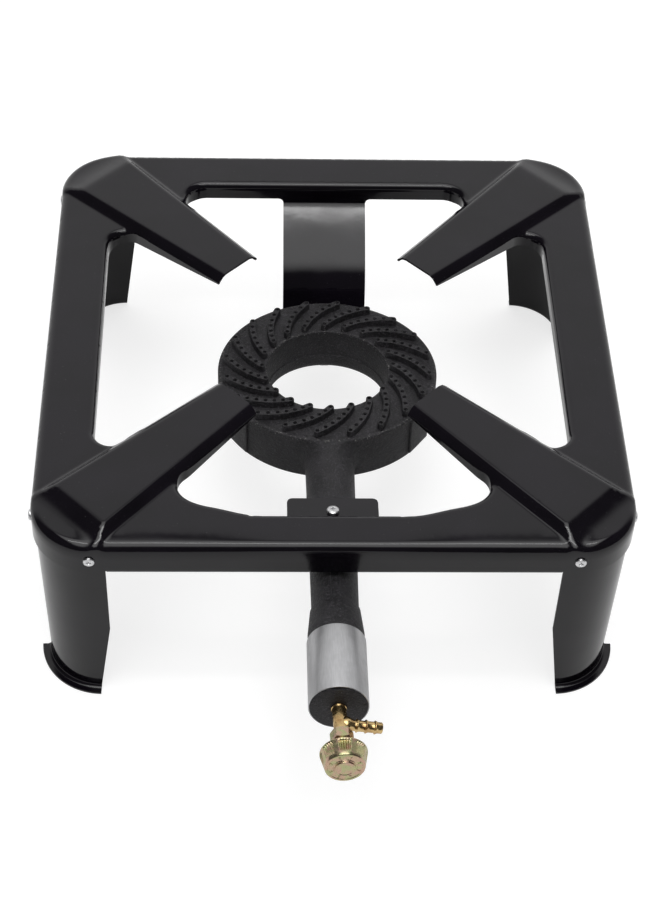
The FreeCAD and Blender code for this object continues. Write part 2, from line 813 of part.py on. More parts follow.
def build_ring_bolt():
    seat = -tongue_depth - sheet - washer_thickness - 2 * stack_gap
    bolt = bar(bolt_flats, bolt_head_h, Vector(0, ring_bolt_s, seat - bolt_head_h))
    shank = Part.makeCylinder(ring_bolt_shank_r, ring_bolt_length, Vector(0, ring_bolt_s, seat))
    return placed(bolt.fuse(shank), burner_place)


def build_ring_washer():
    low = -tongue_depth - sheet - stack_gap - washer_thickness
    foot = Vector(0, ring_bolt_s, low)
    washer = bar(2 * washer_r, washer_thickness, foot, sides=2 * round_sides)
    hole = bar(2 * (ring_bolt_shank_r + tab_hole_clearance), washer_thickness, foot, sides=round_sides)
    return placed(washer.cut(hole), burner_place)


def build_air_sleeve():
    front = plate_s - sleeve_front_inset
    inner = barrel_r + sleeve_clearance
    outline = ring_outline(inner, inner + sleeve_wall, front - sleeve_length, front)
    return placed(along_tube(revolved(outline, forward)), burner_place)


# Needle valve, in its own frame: end plate's face at the origin, axis along -Y

def build_valve_body():
    outside = revolved([(0, -nipple_length), (nipple_r, -nipple_length), (nipple_r, stack_gap),
                        (stub_r, stack_gap), (stub_r, neck_end_u), (0, neck_end_u)], forward)
    start = forward * (-2 * nipple_length)
    gas_bore = bar(2 * gas_bore_r, seat_u + 2 * nipple_length, start, forward, round_sides)
    chamber = bar(2 * valve_chamber_r, guide_u - seat_u, forward * seat_u, forward, round_sides)
    guide = Part.makeCylinder(spindle_r + spindle_clearance, neck_end_u - seat_u, forward * seat_u, forward)
    seal_pocket = bar(2 * seal_chamber_r, neck_end_u + 1 - seal_chamber_u, forward * seal_chamber_u, forward,
                      2 * round_sides)
    side_hole_flats = 2 * (barb_spigot_r + thread_clearance)
    side_hole = bar(side_hole_flats, 2 * stub_r, axis=Vector(1, 0, 0), sides=round_sides)
    body = outside.cut([gas_bore, chamber, guide, seal_pocket, placed(side_hole, barb_place)])
    return placed(body, valve_place)


def faceted(outline, axis, sides):
    """Many-sided turned piece along an axis through the origin, from (radius, height) points."""
    angles = [2 * math.pi * index / sides for index in range(sides)]
    rings = [[Vector(r * math.cos(a), r * math.sin(a), height) for a in angles] for r, height in outline]
    solid = prismatoid(rings[0], rings[1])
    solid = solid.fuse([prismatoid(near, far) for near, far in zip(rings[1:], rings[2:])]).removeSplitter()
    solid.Placement = Placement(Vector(0, 0, 0), Rotation(up, axis))
    return solid


def build_hose_barb():
    outline = [(barb_root_r, 0), (barb_root_r, stub_r), (barb_stem_r, barb_root_length)]
    for index in range(barb_bead_count):
        bead = barb_first_bead + barb_bead_pitch * index
        outline += [(barb_stem_r, bead - 0.6), (barb_bead_r, bead), (barb_stem_r, bead + 1.8)]
    outline += [(barb_stem_r, barb_length - 0.6), (barb_stem_r - 0.4, barb_length)]
    sideways = Vector(1, 0, 0)
    stub = bar(2 * (stub_r + gland_clearance), 4 * stub_r, Vector(0, 2 * stub_r, 0), forward, 2 * round_sides)
    spigot = bar(2 * barb_spigot_r, stub_r, sideways * (valve_chamber_r + stack_gap), sideways, round_sides)
    bore = bar(2 * barb_bore_r, barb_length, axis=sideways, sides=round_sides)
    barb = faceted(outline, sideways, barb_sides).cut(stub).fuse(spigot).cut(bore)
    return placed(placed(barb, barb_place), valve_place)


def build_injector_jet():
    start = -nipple_length + jet_overlap
    jet = bar(jet_flats, jet_length, forward * start, forward * -1)
    backward = forward * -1
    pocket_flats = 2 * (nipple_r + thread_clearance)
    pocket = bar(pocket_flats, jet_overlap + stack_gap, forward * start, backward, round_sides)
    orifice = bar(2 * jet_orifice_r, 2 * jet_length, forward * start, backward)
    return placed(jet.cut([pocket, orifice]), valve_place)


def build_gland_nut():
    nut = bar(gland_flats, gland_length - stack_gap, forward * (gland_start_u + stack_gap), forward)
    start = forward * gland_start_u
    pocket = bar(2 * (stub_r + gland_clearance), gland_length - gland_wall, start, forward, 2 * round_sides)
    hole = bar(2 * (spindle_r + 2 * spindle_clearance), 2 * gland_length, start, forward, round_sides)
    return placed(nut.cut([pocket, hole]), valve_place)


def seal_ring(low, height):
    outer = bar(2 * (spindle_r + seal_play + seal_width), height, forward * low, forward, 2 * round_sides)
    inner = bar(2 * (spindle_r + seal_play), height, forward * low, forward, 2 * round_sides)
    return placed(outer.cut(inner), valve_place)


def build_stem_seal():
    return seal_ring(seal_chamber_u + seal_start_gap, seal_height)


def build_seal_washer():
    return seal_ring(seal_chamber_u + seal_start_gap + seal_height + stack_gap, seal_washer_thickness)


def build_valve_spindle():
    tip_u = seat_u - needle_lead
    end_u = knob_front_u - spindle_end_depth
    outline = [(0, tip_u), (needle_tip_r, tip_u), (spindle_r, tip_u + needle_length),
               (spindle_r, end_u), (0, end_u)]
    return placed(revolved(outline, forward), valve_place)


def knob_section(u, radius):
    """Outline of the knob across its axis, with vee flutes in groups."""
    scale = radius / knob_back_r
    half_angle = math.degrees(flute_half_width / knob_back_r)
    group_angle = 360 / flute_groups
    polar = []
    for group in range(flute_groups):
        for index in range(flutes_per_group):
            middle = group_angle * group + flute_pitch * (index - (flutes_per_group - 1) / 2)
            polar += [(middle - half_angle, knob_back_r), (middle, knob_back_r - flute_depth),
                      (middle + half_angle, knob_back_r)]
        polar.append((group_angle * (group + 0.5), knob_back_r))
    return [Vector(r * scale * math.sin(math.radians(a)), -u, r * scale * math.cos(math.radians(a)))
            for a, r in polar]


def build_control_knob():
    hole_r = spindle_r + thread_clearance
    end_u = knob_front_u - spindle_end_depth
    recess_u = knob_front_u - knob_front_wall
    draft = (knob_back_r - knob_front_r) * (1 - knob_front_wall / knob_length)
    recess_front_r = knob_back_r - knob_wall - draft
    knob = prismatoid(knob_section(knob_back_u, knob_back_r), knob_section(knob_front_u, knob_front_r))
    recess = bar(2 * recess_front_r, recess_u + 1 - knob_back_u, forward * (knob_back_u - 1), forward,
                 2 * round_sides)
    hub = bar(2 * knob_hub_r, knob_front_u - knob_hub_u, forward * knob_hub_u, forward, round_sides)
    boss_foot = forward * (knob_front_u - knob_boss_height)
    boss = Part.makeCylinder(knob_boss_r, 2 * knob_boss_height, boss_foot, forward)
    hole = bar(2 * hole_r, end_u - knob_hub_u, forward * knob_hub_u, forward, round_sides)
    return placed(knob.cut(recess).fuse([hub, boss]).cut(hole), valve_place)


# Everything is moved along Y so that the middle of the whole stand is at the origin

def build_all():
    nodes = {"top_frame": build_top_frame()}
    nodes.update(build_legs())
    nodes["leg_screws"] = build_leg_screws()
    nodes["leg_nuts"] = build_leg_nuts()
    nodes["burner_body"] = build_burner_body()
    nodes["burner_head"] = build_burner_head()
    nodes["tab_screw"] = build_tab_screw()
    nodes["ring_bolt"] = build_ring_bolt()
    nodes["ring_washer"] = build_ring_washer()
    nodes["air_sleeve"] = build_air_sleeve()
    nodes["valve_body"] = build_valve_body()
    nodes["hose_barb"] = build_hose_barb()
    nodes["injector_jet"] = build_injector_jet()
    nodes["gland_nut"] = build_gland_nut()
    nodes["stem_seal"] = build_stem_seal()
    nodes["seal_washer"] = build_seal_washer()
    nodes["valve_spindle"] = build_valve_spindle()
    nodes["control_knob"] = build_control_knob()
    return nodes


def main():
    nodes = build_all()
    box = Part.makeCompound(list(nodes.values())).optimalBoundingBox(False)
    middle = (box.YMin + box.YMax) / 2
    print("middle of the stand along Y:", round(middle, 4))
    for name, shape in nodes.items():
        shape.translate(Vector(0, -middle, 0))
        print(name, shape.isValid(), len(shape.Solids), round(shape.Volume, 1))
        shape.exportStep("parts/" + name + ".step")


main()
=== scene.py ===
import json
import math

import bmesh
import bpy
import numpy as np
from bpy.props import FloatProperty, FloatVectorProperty, IntProperty, PointerProperty
from mathutils import Matrix, Vector
from mathutils.geometry import delaunay_2d_cdt


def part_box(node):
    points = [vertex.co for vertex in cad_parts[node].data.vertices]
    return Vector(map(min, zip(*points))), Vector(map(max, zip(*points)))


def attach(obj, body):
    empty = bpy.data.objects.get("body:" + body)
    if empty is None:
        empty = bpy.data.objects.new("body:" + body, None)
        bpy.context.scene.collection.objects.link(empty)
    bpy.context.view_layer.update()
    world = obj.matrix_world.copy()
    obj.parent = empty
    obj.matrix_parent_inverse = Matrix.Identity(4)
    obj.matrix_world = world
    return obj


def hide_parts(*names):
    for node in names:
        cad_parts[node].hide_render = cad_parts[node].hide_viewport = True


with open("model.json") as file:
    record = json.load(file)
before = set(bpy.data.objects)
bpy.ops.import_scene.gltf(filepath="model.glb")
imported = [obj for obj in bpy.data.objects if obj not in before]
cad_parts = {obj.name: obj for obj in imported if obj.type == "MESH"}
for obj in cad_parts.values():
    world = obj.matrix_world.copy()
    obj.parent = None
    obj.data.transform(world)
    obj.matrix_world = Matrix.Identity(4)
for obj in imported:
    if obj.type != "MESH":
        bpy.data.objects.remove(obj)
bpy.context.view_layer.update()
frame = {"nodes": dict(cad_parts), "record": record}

bl_info = {
    "name": "Propane burner stand",
    "version": (1, 0, 0),
    "blender": (4, 5, 0),
    "location": "View3D > Sidebar > Burner stand",
    "description": "Dresses the packed solids of a burner stand with its visible pieces and finishes",
    "category": "Object",
}

MM = 0.001

# The stand's own middle: halfway between the front and rear skirts, on the floor
_low, _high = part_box("top_frame")
stand_middle = Vector((0, (_low.y + _high.y) / 2, 0))

# The pressing, in millimetres from the stand's middle
CORNER_R = 40.0
OPENING_R = {"right": 13.0, "rear": 16.0, "left": 13.0, "front": 22.0}
FRONT_RISE = 9.0
FRONT_RISE_RUN = (48.0, 92.0)
FRONT_RISE_FADE = 38.0
GUSSET_RUN = 6.0
LIP_R = 5.0
CAP_EDGE_R = (4.0, 4.0, 2.5, 2.5)
SKIRT_LOW = 131.0
FLANGE_LOW = 141.5
HEM_LOW = 127.4
HEM_R = 4.6
HEM_LIP = 5.4
HEM_HALF = 149.0
TIP_REACH = 93.0
TIP_HALF = 19.6
ARM_TAPER = 0.0692
CAP_CREASE = 236.0
CAP_DROP = (9.0, 9.0, 13.0, 13.0)
TIP_FLANGE_LOW = 153.5
FLANGE_END_REACH = 215.0
FLANGE_FADE = 15.0
TAB_HALF = 31.0
TAB_END_S = 139.5
TAB_CORNER_R = 4.0
TAB_GAP = 0.3
TONGUE_HALF = 31.5
TONGUE_END_S = 52.0
TONGUE_LINE = ((161.6, 136.9), (141.8, 123.6), (122.4, 109.3), (111.8, 96.5), (107.6, 86.0), (103.4, 72.6),
               (99.5, 67.2))
TONGUE_FLAT_S = 86.0
TONGUE_CORNER_R = 8.0
TONGUE_GAP = 0.2
ROOT_R = 4.0
DISH_RUN = 14.0
DISH_FROM = 6.6
DISH_FALL = 0.0107

# The legs
LEG_GAP = 0.3
LEG_TOP = 145.0
LEG_OPEN = 150.0
LEG_LEAN = 2.2
LEG_FOOT = 6.2
LEG_TAPER_TOP = 66.0
LEG_TAPER = 9.0

# The burner: depths below the ring's top face, and s along the mixing tube from the ring's middle
RING_HEIGHT = 35.0
TUBE_DEPTH = 17.5
SEAT_R = 75.8
SEAT_DEPTH = 4.1
HEAD_R = 75.72
HEAD_THICK = 4.0
BORE_STEP_DEPTH = 22.0
BORE_STEP = 0.5
PAD_ANGLE = 55.0
PAD_SIZE = (24.0, 6.0, 29.0)
PAD_TOP = 3.5
PAD_REACH = 80.6
RIDGE_INNER_R = 47.9
RIDGE_OUTER_R = 74.4
RIDGE_START = 1.3
RIDGE_SWEEP = 26.2
TUBE_R = 17.3
TAPER_S = 77.0
JOIN_S = 79.6
JOIN_R = 6.0
NECK_R = 15.6
FLARE_S = 229.4
FLARE_STEP = 1.1
BARREL_S = 250.0
BARREL_R = 18.5
BARREL_BORE_R = 14.6
TUBE_BORE_R = 11.4
PLATE_S = 312.0
PLATE_THICK = 4.0
WINDOW = (281.0, 303.0, 9.0)
TAB_SCREW_S = 153.0
SLEEVE = (18.58, 19.28, 257.2, 311.2)

# The valve: u forward of the end plate's face
STUB_R = 4.55
NIPPLE_R = 4.0
NIPPLE_LENGTH = 11.0
SEAL_U = 21.4
NECK_END_U = 26.0
GLAND_U = (20.1, 28.0)
BARB_U = 13.0
BARB_DROOP = 12.0
BARB_ROOT_R = 5.2
BARB_STEM_R = 3.6
BARB_BEADS = (10.2, 16.1, 22.0)
BARB_LENGTH = 26.6
KNOB_U = 36.0
HUB_U = 29.0
HUB_R = 6.5
BOSS_HEIGHT = 1.2
FLUTE_GROUP = 45.0
FLUTE_PITCH = 6.2
FLUTE_HALF = 2.8
FLUTE_DEPTH = 0.9
DIAL_R = 9.05
DIAL_SIZE = 3.1

# Pan head screws: head's radius and height, shank's radius and length
LEG_SCREW = (3.8, 1.9, 1.95, 10.0)
TAB_SCREW = (4.4, 2.8, 2.4, 5.8)

# The light: the backdrop's top in degrees above the horizon, levels, and the overhead light's spread per height
BACKDROP_TOP = 59.0
BACKDROP_LEVEL = 0.95
SIDE_LEVEL = 0.06
CEILING_LEVEL = 0.02
OVERHEAD_LEVEL = 2.8
OVERHEAD_MIDDLE = -0.22
OVERHEAD_HALF = (0.38, 0.60)
OVERHEAD_SOFT = (0.15, 0.50)
STRIP_PLACE = (0.0, -0.40, 2.1)
STRIP_SIZE = (1.5, 0.12)
STRIP_POWER = 6.5
FILL_SIZE = (1.6, 1.6)
FILL_POWER = 5.0

# The camera fitted to the photograph: yaw, elevation and roll in degrees, place from the stand's middle in metres,
# focal length and picture height in pixels
CAMERA_TURNS = (3.14, 46.94, 2.52)
CAMERA_PLACE = (-0.054, -1.057, 1.164)
CAMERA_FOCAL_PX = 2053.0
PICTURE_HEIGHT_PX = 904
SENSOR = 36


class StandSizes(bpy.types.PropertyGroup):
    side: FloatProperty(name="Frame side", description="Width and depth of the square frame",
                        default=0.4, unit="LENGTH")
    sheet: FloatProperty(name="Sheet", description="Thickness of the pressed sheet", default=0.0015,
                         unit="LENGTH")
    rail_top: FloatProperty(name="Rail top", description="Height of the rails' top above the floor",
                            default=0.1548, unit="LENGTH")
    arm_rise: FloatProperty(name="Arm rise", description="How far the pot arms stand above the rails",
                            default=0.0052, unit="LENGTH")
    edge_radius: FloatProperty(name="Outer edge", description="Radius of the rails' outer edge",
                               default=0.0066, unit="LENGTH")
    rail_side: FloatProperty(name="Side rails", description="Width of the side rails", default=0.038,
                             unit="LENGTH")
    rail_rear: FloatProperty(name="Rear rail", description="Width of the rear rail", default=0.0365,
                             unit="LENGTH")
    rail_front: FloatProperty(name="Front rail", description="Width of the front rail", default=0.03,
                              unit="LENGTH")
    blend: FloatProperty(name="Press blend", description="Softness of the pressed creases", default=0.0024,
                         unit="LENGTH")
    screw_height: FloatProperty(name="Screw height", description="Height of the leg screws", default=0.141,
                                unit="LENGTH")
    screw_inset: FloatProperty(name="Screw inset", description="Leg screws, in from the frame's corners",
                               default=0.04, unit="LENGTH")


class BurnerSizes(bpy.types.PropertyGroup):
    tilt: FloatProperty(name="Tilt", description="How far the burner falls towards the rear",
                        default=math.radians(5.4), subtype="ANGLE", unit="ROTATION")
    offset: FloatProperty(name="Offset", description="Burner ring's middle behind the stand's middle",
                          default=0.011, unit="LENGTH")
    height: FloatProperty(name="Height", description="Ring's top face above the floor", default=0.108,
                          unit="LENGTH")
    ring_radius: FloatProperty(name="Ring radius", description="Outside of the burner ring", default=0.08,
                               unit="LENGTH")
    bore_radius: FloatProperty(name="Bore radius", description="Hole through the burner ring", default=0.0442,
                               unit="LENGTH")
    ridges: IntProperty(name="Ridges", description="Curved ridges on the burner head", default=20)
    ports: IntProperty(name="Ports", description="Gas ports along each ridge", default=7)
    port_radius: FloatProperty(name="Port radius", description="Radius of a gas port", default=0.00145,
                               unit="LENGTH")
    ridge_height: FloatProperty(name="Ridge height", description="Height of a ridge", default=0.005,
                                unit="LENGTH")
    ridge_width: FloatProperty(name="Ridge width", description="Width of a ridge", default=0.0048,
                               unit="LENGTH")


class ValveSizes(bpy.types.PropertyGroup):
    yaw: FloatProperty(name="Yaw", description="Turn of the valve to the right", default=math.radians(3.0),
                       subtype="ANGLE", unit="ROTATION")
    knob_radius: FloatProperty(name="Knob radius", description="Widest radius of the knob", default=0.015,
                               unit="LENGTH")
    knob_front_radius: FloatProperty(name="Knob front radius", description="Radius of the knob's front",
                                     default=0.0125, unit="LENGTH")
    knob_length: FloatProperty(name="Knob length", description="Length of the fluted knob", default=0.012,
                               unit="LENGTH")
    nut_flats: FloatProperty(name="Gland nut", description="Gland nut across its flats", default=0.013,
                             unit="LENGTH")
    bead_radius: FloatProperty(name="Barb beads", description="Radius of the hose barb's beads",
                               default=0.00435, unit="LENGTH")


class Finishes(bpy.types.PropertyGroup):
    paint: FloatVectorProperty(name="Paint", description="Gloss black paint", size=3, subtype="COLOR",
                               default=(0.0040, 0.0030, 0.0052))
    iron: FloatVectorProperty(name="Cast iron", description="Blacked cast iron", size=3, subtype="COLOR",
                              default=(0.0120, 0.0112, 0.0128))
    sleeve: FloatVectorProperty(name="Sleeve", description="Galvanised air sleeve", size=3, subtype="COLOR",
                                default=(0.50, 0.50, 0.51))
    brass: FloatVectorProperty(name="Brass", description="Brass of the valve and barb", size=3,
                               subtype="COLOR", default=(0.62, 0.45, 0.21))
    plating: FloatVectorProperty(name="Plating", description="Yellow plating of the knob and nut", size=3,
                                 subtype="COLOR", default=(0.50, 0.42, 0.235))
    zinc: FloatVectorProperty(name="Screws", description="Bright plated screws", size=3, subtype="COLOR",
                              default=(0.66, 0.66, 0.67))


def sizes():
    return bpy.context.scene.stand_sizes


def burner_sizes():
    return bpy.context.scene.stand_burner


def valve_sizes():
    return bpy.context.scene.stand_valve


def finishes():
    return bpy.context.scene.stand_finishes


def millimetres(length):
    return length / MM


# Places, as matrices in millimetres from the stand's middle

def burner_place():
    b = burner_sizes()
    place = Matrix.Translation((0, millimetres(b.offset), millimetres(b.height)))
    return place @ Matrix.Rotation(-b.tilt, 4, "X")


def tube_place():
    """The mixing tube's axis as +Z, forward from the middle of the ring."""
    return burner_place() @ Matrix.Translation((0, 0, -TUBE_DEPTH)) @ Matrix.Rotation(math.pi / 2, 4, "X")


def valve_place():
    """The valve's axis as +Z, forward from the face of the end plate, with the barb's side as +X."""
    turn = Matrix.Rotation(valve_sizes().yaw, 4, "Z") @ Matrix.Rotation(math.pi / 2, 4, "X")
    return burner_place() @ Matrix.Translation((0, -PLATE_S, -TUBE_DEPTH)) @ turn


def barb_place():
    """The hose barb's axis as +Z, out from the valve's axis."""
    droop = math.radians(BARB_DROOP)
    turn = Matrix.Rotation(-droop, 4, "Z") @ Matrix.Rotation(math.pi / 2, 4, "Y")
    return valve_place() @ Matrix.Translation((0, 0, BARB_U)) @ turn


def to_scene(points, place=None):
    """Millimetres from the stand's middle, as rows, to metres in the frame."""
    rows = np.asarray(points, float).reshape(-1, 3)
    if place is not None:
        turn = np.array(place.to_3x3())
        rows = rows @ turn.T + np.array(place.translation)
    return rows * MM + np.array(stand_middle)


# Mesh helpers

def mesh_from(name, points, faces, place=None, angle=35.0):
    mesh = bpy.data.meshes.new(name)
    mesh.from_pydata([tuple(p) for p in to_scene(points, place)], [], [tuple(f) for f in faces])
    mesh.update()
    mesh.shade_smooth()
    if angle is not None:
        mesh.set_sharp_from_angle(angle=math.radians(angle))
    return mesh


def tidy_mesh(mesh, distance=1e-6):
    """Merges doubles and turns every face outwards."""
    shape = bmesh.new()
    shape.from_mesh(mesh)
    bmesh.ops.remove_doubles(shape, verts=shape.verts, dist=distance)
    bmesh.ops.recalc_face_normals(shape, faces=shape.faces)
    shape.to_mesh(mesh)
    shape.free()
    mesh.update()
    return mesh


def piece_from(name, meshes, body, slot, nodes, angle=35.0):
    """One object from one or more meshes, riding on a body and standing for the CAD nodes given."""
    shape = bmesh.new()
    for mesh in meshes:
        shape.from_mesh(mesh)
    joined = bpy.data.meshes.new(name)
    shape.to_mesh(joined)
    shape.free()
    for mesh in meshes:
        bpy.data.meshes.remove(mesh)
    joined.shade_smooth()
    if angle is not None:
        joined.set_sharp_from_angle(angle=math.radians(angle))
    seat_piece(name, joined, body, slot, nodes)


def seat_piece(name, mesh, body, slot, nodes):
    mesh.materials.clear()
    mesh.materials.append(finish(slot))
    piece = bpy.data.objects.new(name, mesh)
    bpy.context.scene.collection.objects.link(piece)
    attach(piece, body)
    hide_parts(*nodes)


def rounded_outline(corners, steps=4):
    """Points of an outline whose corners, given as (r, z, radius), are rounded."""
    points = []
    for index, (r, z, radius) in enumerate(corners):
        corner = Vector((r, z))
        if radius <= 0 or index in (0, len(corners) - 1):
            points.append((r, z))
            continue
        before = (Vector(corners[index - 1][:2]) - corner)
        after = (Vector(corners[index + 1][:2]) - corner)
        before_len, after_len = before.length, after.length
        before.normalize()
        after.normalize()
        half = before.angle(after) / 2
        tangent = min(radius / math.tan(half), before_len * 0.499, after_len * 0.499)
        reach = tangent * math.tan(half)
        middle = corner + (before + after).normalized() * (reach / math.sin(half))
        start = corner + before * tangent - middle
        sweep = math.pi - 2 * half
        if start.x * (corner - middle).y - start.y * (corner - middle).x < 0:
            sweep = -sweep
        for step in range(steps + 1):
            a = sweep * step / steps
            points.append((middle.x + start.x * math.cos(a) - start.y * math.sin(a),
                           middle.y + start.x * math.sin(a) + start.y * math.cos(a)))
    return points


def turned_skin(outline, count, closed):
    """Points and faces of a skin turned about +Z. Points at radius 0 become one point."""
    points = []
    rings = []
    for r, z in outline:
        if r < 1e-6:
            rings.append([len(points)] * count)
            points.append((0, 0, z))
            continue
        rings.append(list(range(len(points), len(points) + count)))
        for step in range(count):
            a = 2 * math.pi * step / count
            points.append((r * math.cos(a), r * math.sin(a), z))
    faces = []
    pairs = list(zip(rings, rings[1:]))
    if closed:
        pairs.append((rings[-1], rings[0]))
    for near, far in pairs:
        for step in range(count):
            after = (step + 1) % count
            face = []
            for vertex in (near[step], near[after], far[after], far[step]):
                if vertex not in face:
                    face.append(vertex)
            if len(face) > 2:
                faces.append(face)
    return points, faces


def lathe(name, outline, place, count=96, closed=False, angle=35.0):
    """Turned solid about +Z of its place."""
    points, faces = turned_skin(outline, count, closed)
    return tidy_mesh(mesh_from(name, points, faces, place, angle), 1e-8)


def loft(name, loops, place=None, closed=False, angle=35.0):
    """Solid skin through loops of one length: closed on itself, or with a face at each end."""
    count = len(loops[0])
    points = [tuple(point) for loop in loops for point in loop]
    rows = list(range(len(loops))) + ([0] if closed else [])
    faces = []
    for near, far in zip(rows, rows[1:]):
        for i in range(count):
            j = (i + 1) % count
            faces.append((near * count + i, near * count + j, far * count + j, far * count + i))
    if not closed:
        faces.append(tuple(range(count)))
        faces.append(tuple(range((len(loops) - 1) * count, len(loops) * count)))
    return tidy_mesh(mesh_from(name, points, faces, place, angle), 1e-8)


def rounded_box(name, low, high, radius, place):
    """Box with every edge rounded."""
    shape = bmesh.new()
    bmesh.ops.create_cube(shape, size=1.0)
    for vertex in shape.verts:
        vertex.co = Vector([a if c < 0 else b for a, b, c in zip(low, high, vertex.co)])
    bmesh.ops.bevel(shape, geom=shape.edges[:], offset=radius, segments=3, profile=0.5, affect="EDGES")
    shape.verts.ensure_lookup_table()
    points = [tuple(vertex.co) for vertex in shape.verts]
    faces = [[vertex.index for vertex in face.verts] for face in shape.faces]
    shape.free()
    return tidy_mesh(mesh_from(name, points, faces, place), 1e-8)


def seated(mesh, place):
    """A mesh made in its own millimetres, moved to its place in the frame."""
    mesh.transform(Matrix.Translation(stand_middle) @ Matrix.Scale(MM, 4) @ place)
    return mesh


def subtract(mesh, cutter):
    """The mesh less the cutter, as a new mesh."""
    target = bpy.data.objects.new("cut", mesh)
    tool = bpy.data.objects.new("tool", cutter)
    for thing in (target, tool):
        bpy.context.scene.collection.objects.link(thing)
    cut = target.modifiers.new("cut", "BOOLEAN")
    cut.operation = "DIFFERENCE"
    cut.solver = "EXACT"
    cut.object = tool
    depsgraph = bpy.context.evaluated_depsgraph_get()
    result = bpy.data.meshes.new_from_object(target.evaluated_get(depsgraph), depsgraph=depsgraph)
    for thing in (target, tool):
        old = thing.data
        bpy.data.objects.remove(thing)
        bpy.data.meshes.remove(old)
    return result


# Sheet pieces: an open skin with a direction at each point, given its thickness inwards

class Sheet:
    def __init__(self):
        self.points = []
        self.normals = []
        self.faces = []

    def add(self, point, normal):
        self.points.append(tuple(point))
        self.normals.append(tuple(normal))
        return len(self.points) - 1

    def strip(self, rows):
        """Faces between rows of vertex numbers, all of one length."""
        for near, far in zip(rows, rows[1:]):
            for a, b, c, d in zip(near, near[1:], far[1:], far):
                face = []
                for vertex in (a, b, c, d):
                    if vertex not in face:
                        face.append(vertex)
                if len(face) > 2:
                    self.faces.append(face)

    def solid(self, name, thickness):
        points = np.array(self.points, float)
        normals = np.array(self.normals, float)
        normals /= np.linalg.norm(normals, axis=1)[:, None]
        faces = []
        for face in self.faces:
            a, b, c = (points[i] for i in face[:3])
            across = np.cross(b - a, c - a)
            if len(face) == 4:
                across = across + np.cross(c - a, points[face[3]] - a)
            mean = normals[face].sum(axis=0)
            faces.append(face if across @ mean >= 0 else face[::-1])
        edges = {}
        for face in faces:
            for a, b in zip(face, face[1:] + face[:1]):
                edges[(a, b)] = edges.get((a, b), 0) + 1
        rim = [(a, b) for (a, b) in edges if (b, a) not in edges]
        count = len(points)
        inner = points - normals * thickness
        everything = [list(face) for face in faces] + [[i + count for i in face[::-1]] for face in faces]
        everything += [[b, a, a + count, b + count] for a, b in rim]
        mesh = bpy.data.meshes.new(name)
        mesh.from_pydata([tuple(p) for p in to_scene(np.vstack([points, inner]))], [], everything)
        mesh.update()
        mesh.shade_smooth()
        corner_normals = []
        for face in faces:
            corner_normals += [tuple(normals[i]) for i in face]
        for face in faces:
            corner_normals += [tuple(-normals[i]) for i in face[::-1]]
        for polygon in mesh.polygons[2 * len(faces):]:
            corner_normals += [tuple(polygon.normal)] * len(polygon.vertices)
        mesh.normals_split_custom_set(corner_normals)
        return mesh


# The pressing

def corner_axes(corner):
    a = math.radians(45 + 90 * corner)
    return np.array((math.cos(a), math.sin(a))), np.array((-math.sin(a), math.cos(a)))


def arm_half(reach):
    return TIP_HALF + ARM_TAPER * (reach - TIP_REACH)


def rail_lines():
    half = millimetres(sizes().side) / 2
    side = half - millimetres(sizes().rail_side)
    rear = half - millimetres(sizes().rail_rear)
    front = half - millimetres(sizes().rail_front)
    return {"right": ((side, 0), (0, 1)), "rear": ((0, rear), (1, 0)),
            "left": ((-side, 0), (0, 1)), "front": ((0, -front), (1, 0))}


def line_meet(point, along, other, other_along):
    cross = along[0] * other_along[1] - along[1] * other_along[0]
    reach = ((other[0] - point[0]) * other_along[1] - (other[1] - point[1]) * other_along[0]) / cross
    return np.array((point[0] + along[0] * reach, point[1] + along[1] * reach))


def spaced(start, end, step, extra=()):
    """Numbers from start to end at about the step, with the extra ones that lie between."""
    count = max(1, int(round(abs(end - start) / step)))
    values = list(np.linspace(start, end, count + 1))
    low, high = min(start, end), max(start, end)
    for value in extra:
        if low + 0.05 < value < high - 0.05:
            values = [v for v in values if abs(v - value) > 0.35 or v in (start, end)] + [value]
    return sorted(values, reverse=end < start)


def key_columns(half_width, end_radius):
    """Places across a tab where its corner and root curves need columns."""
    keys = []
    for share in (0, 0.25, 0.5, 0.7, 0.85, 0.95, 1):
        keys.append(half_width - end_radius * (1 - share))
        keys.append(half_width + ROOT_R * (1 - share))
    return [sign * key for key in keys for sign in (-1, 1)]


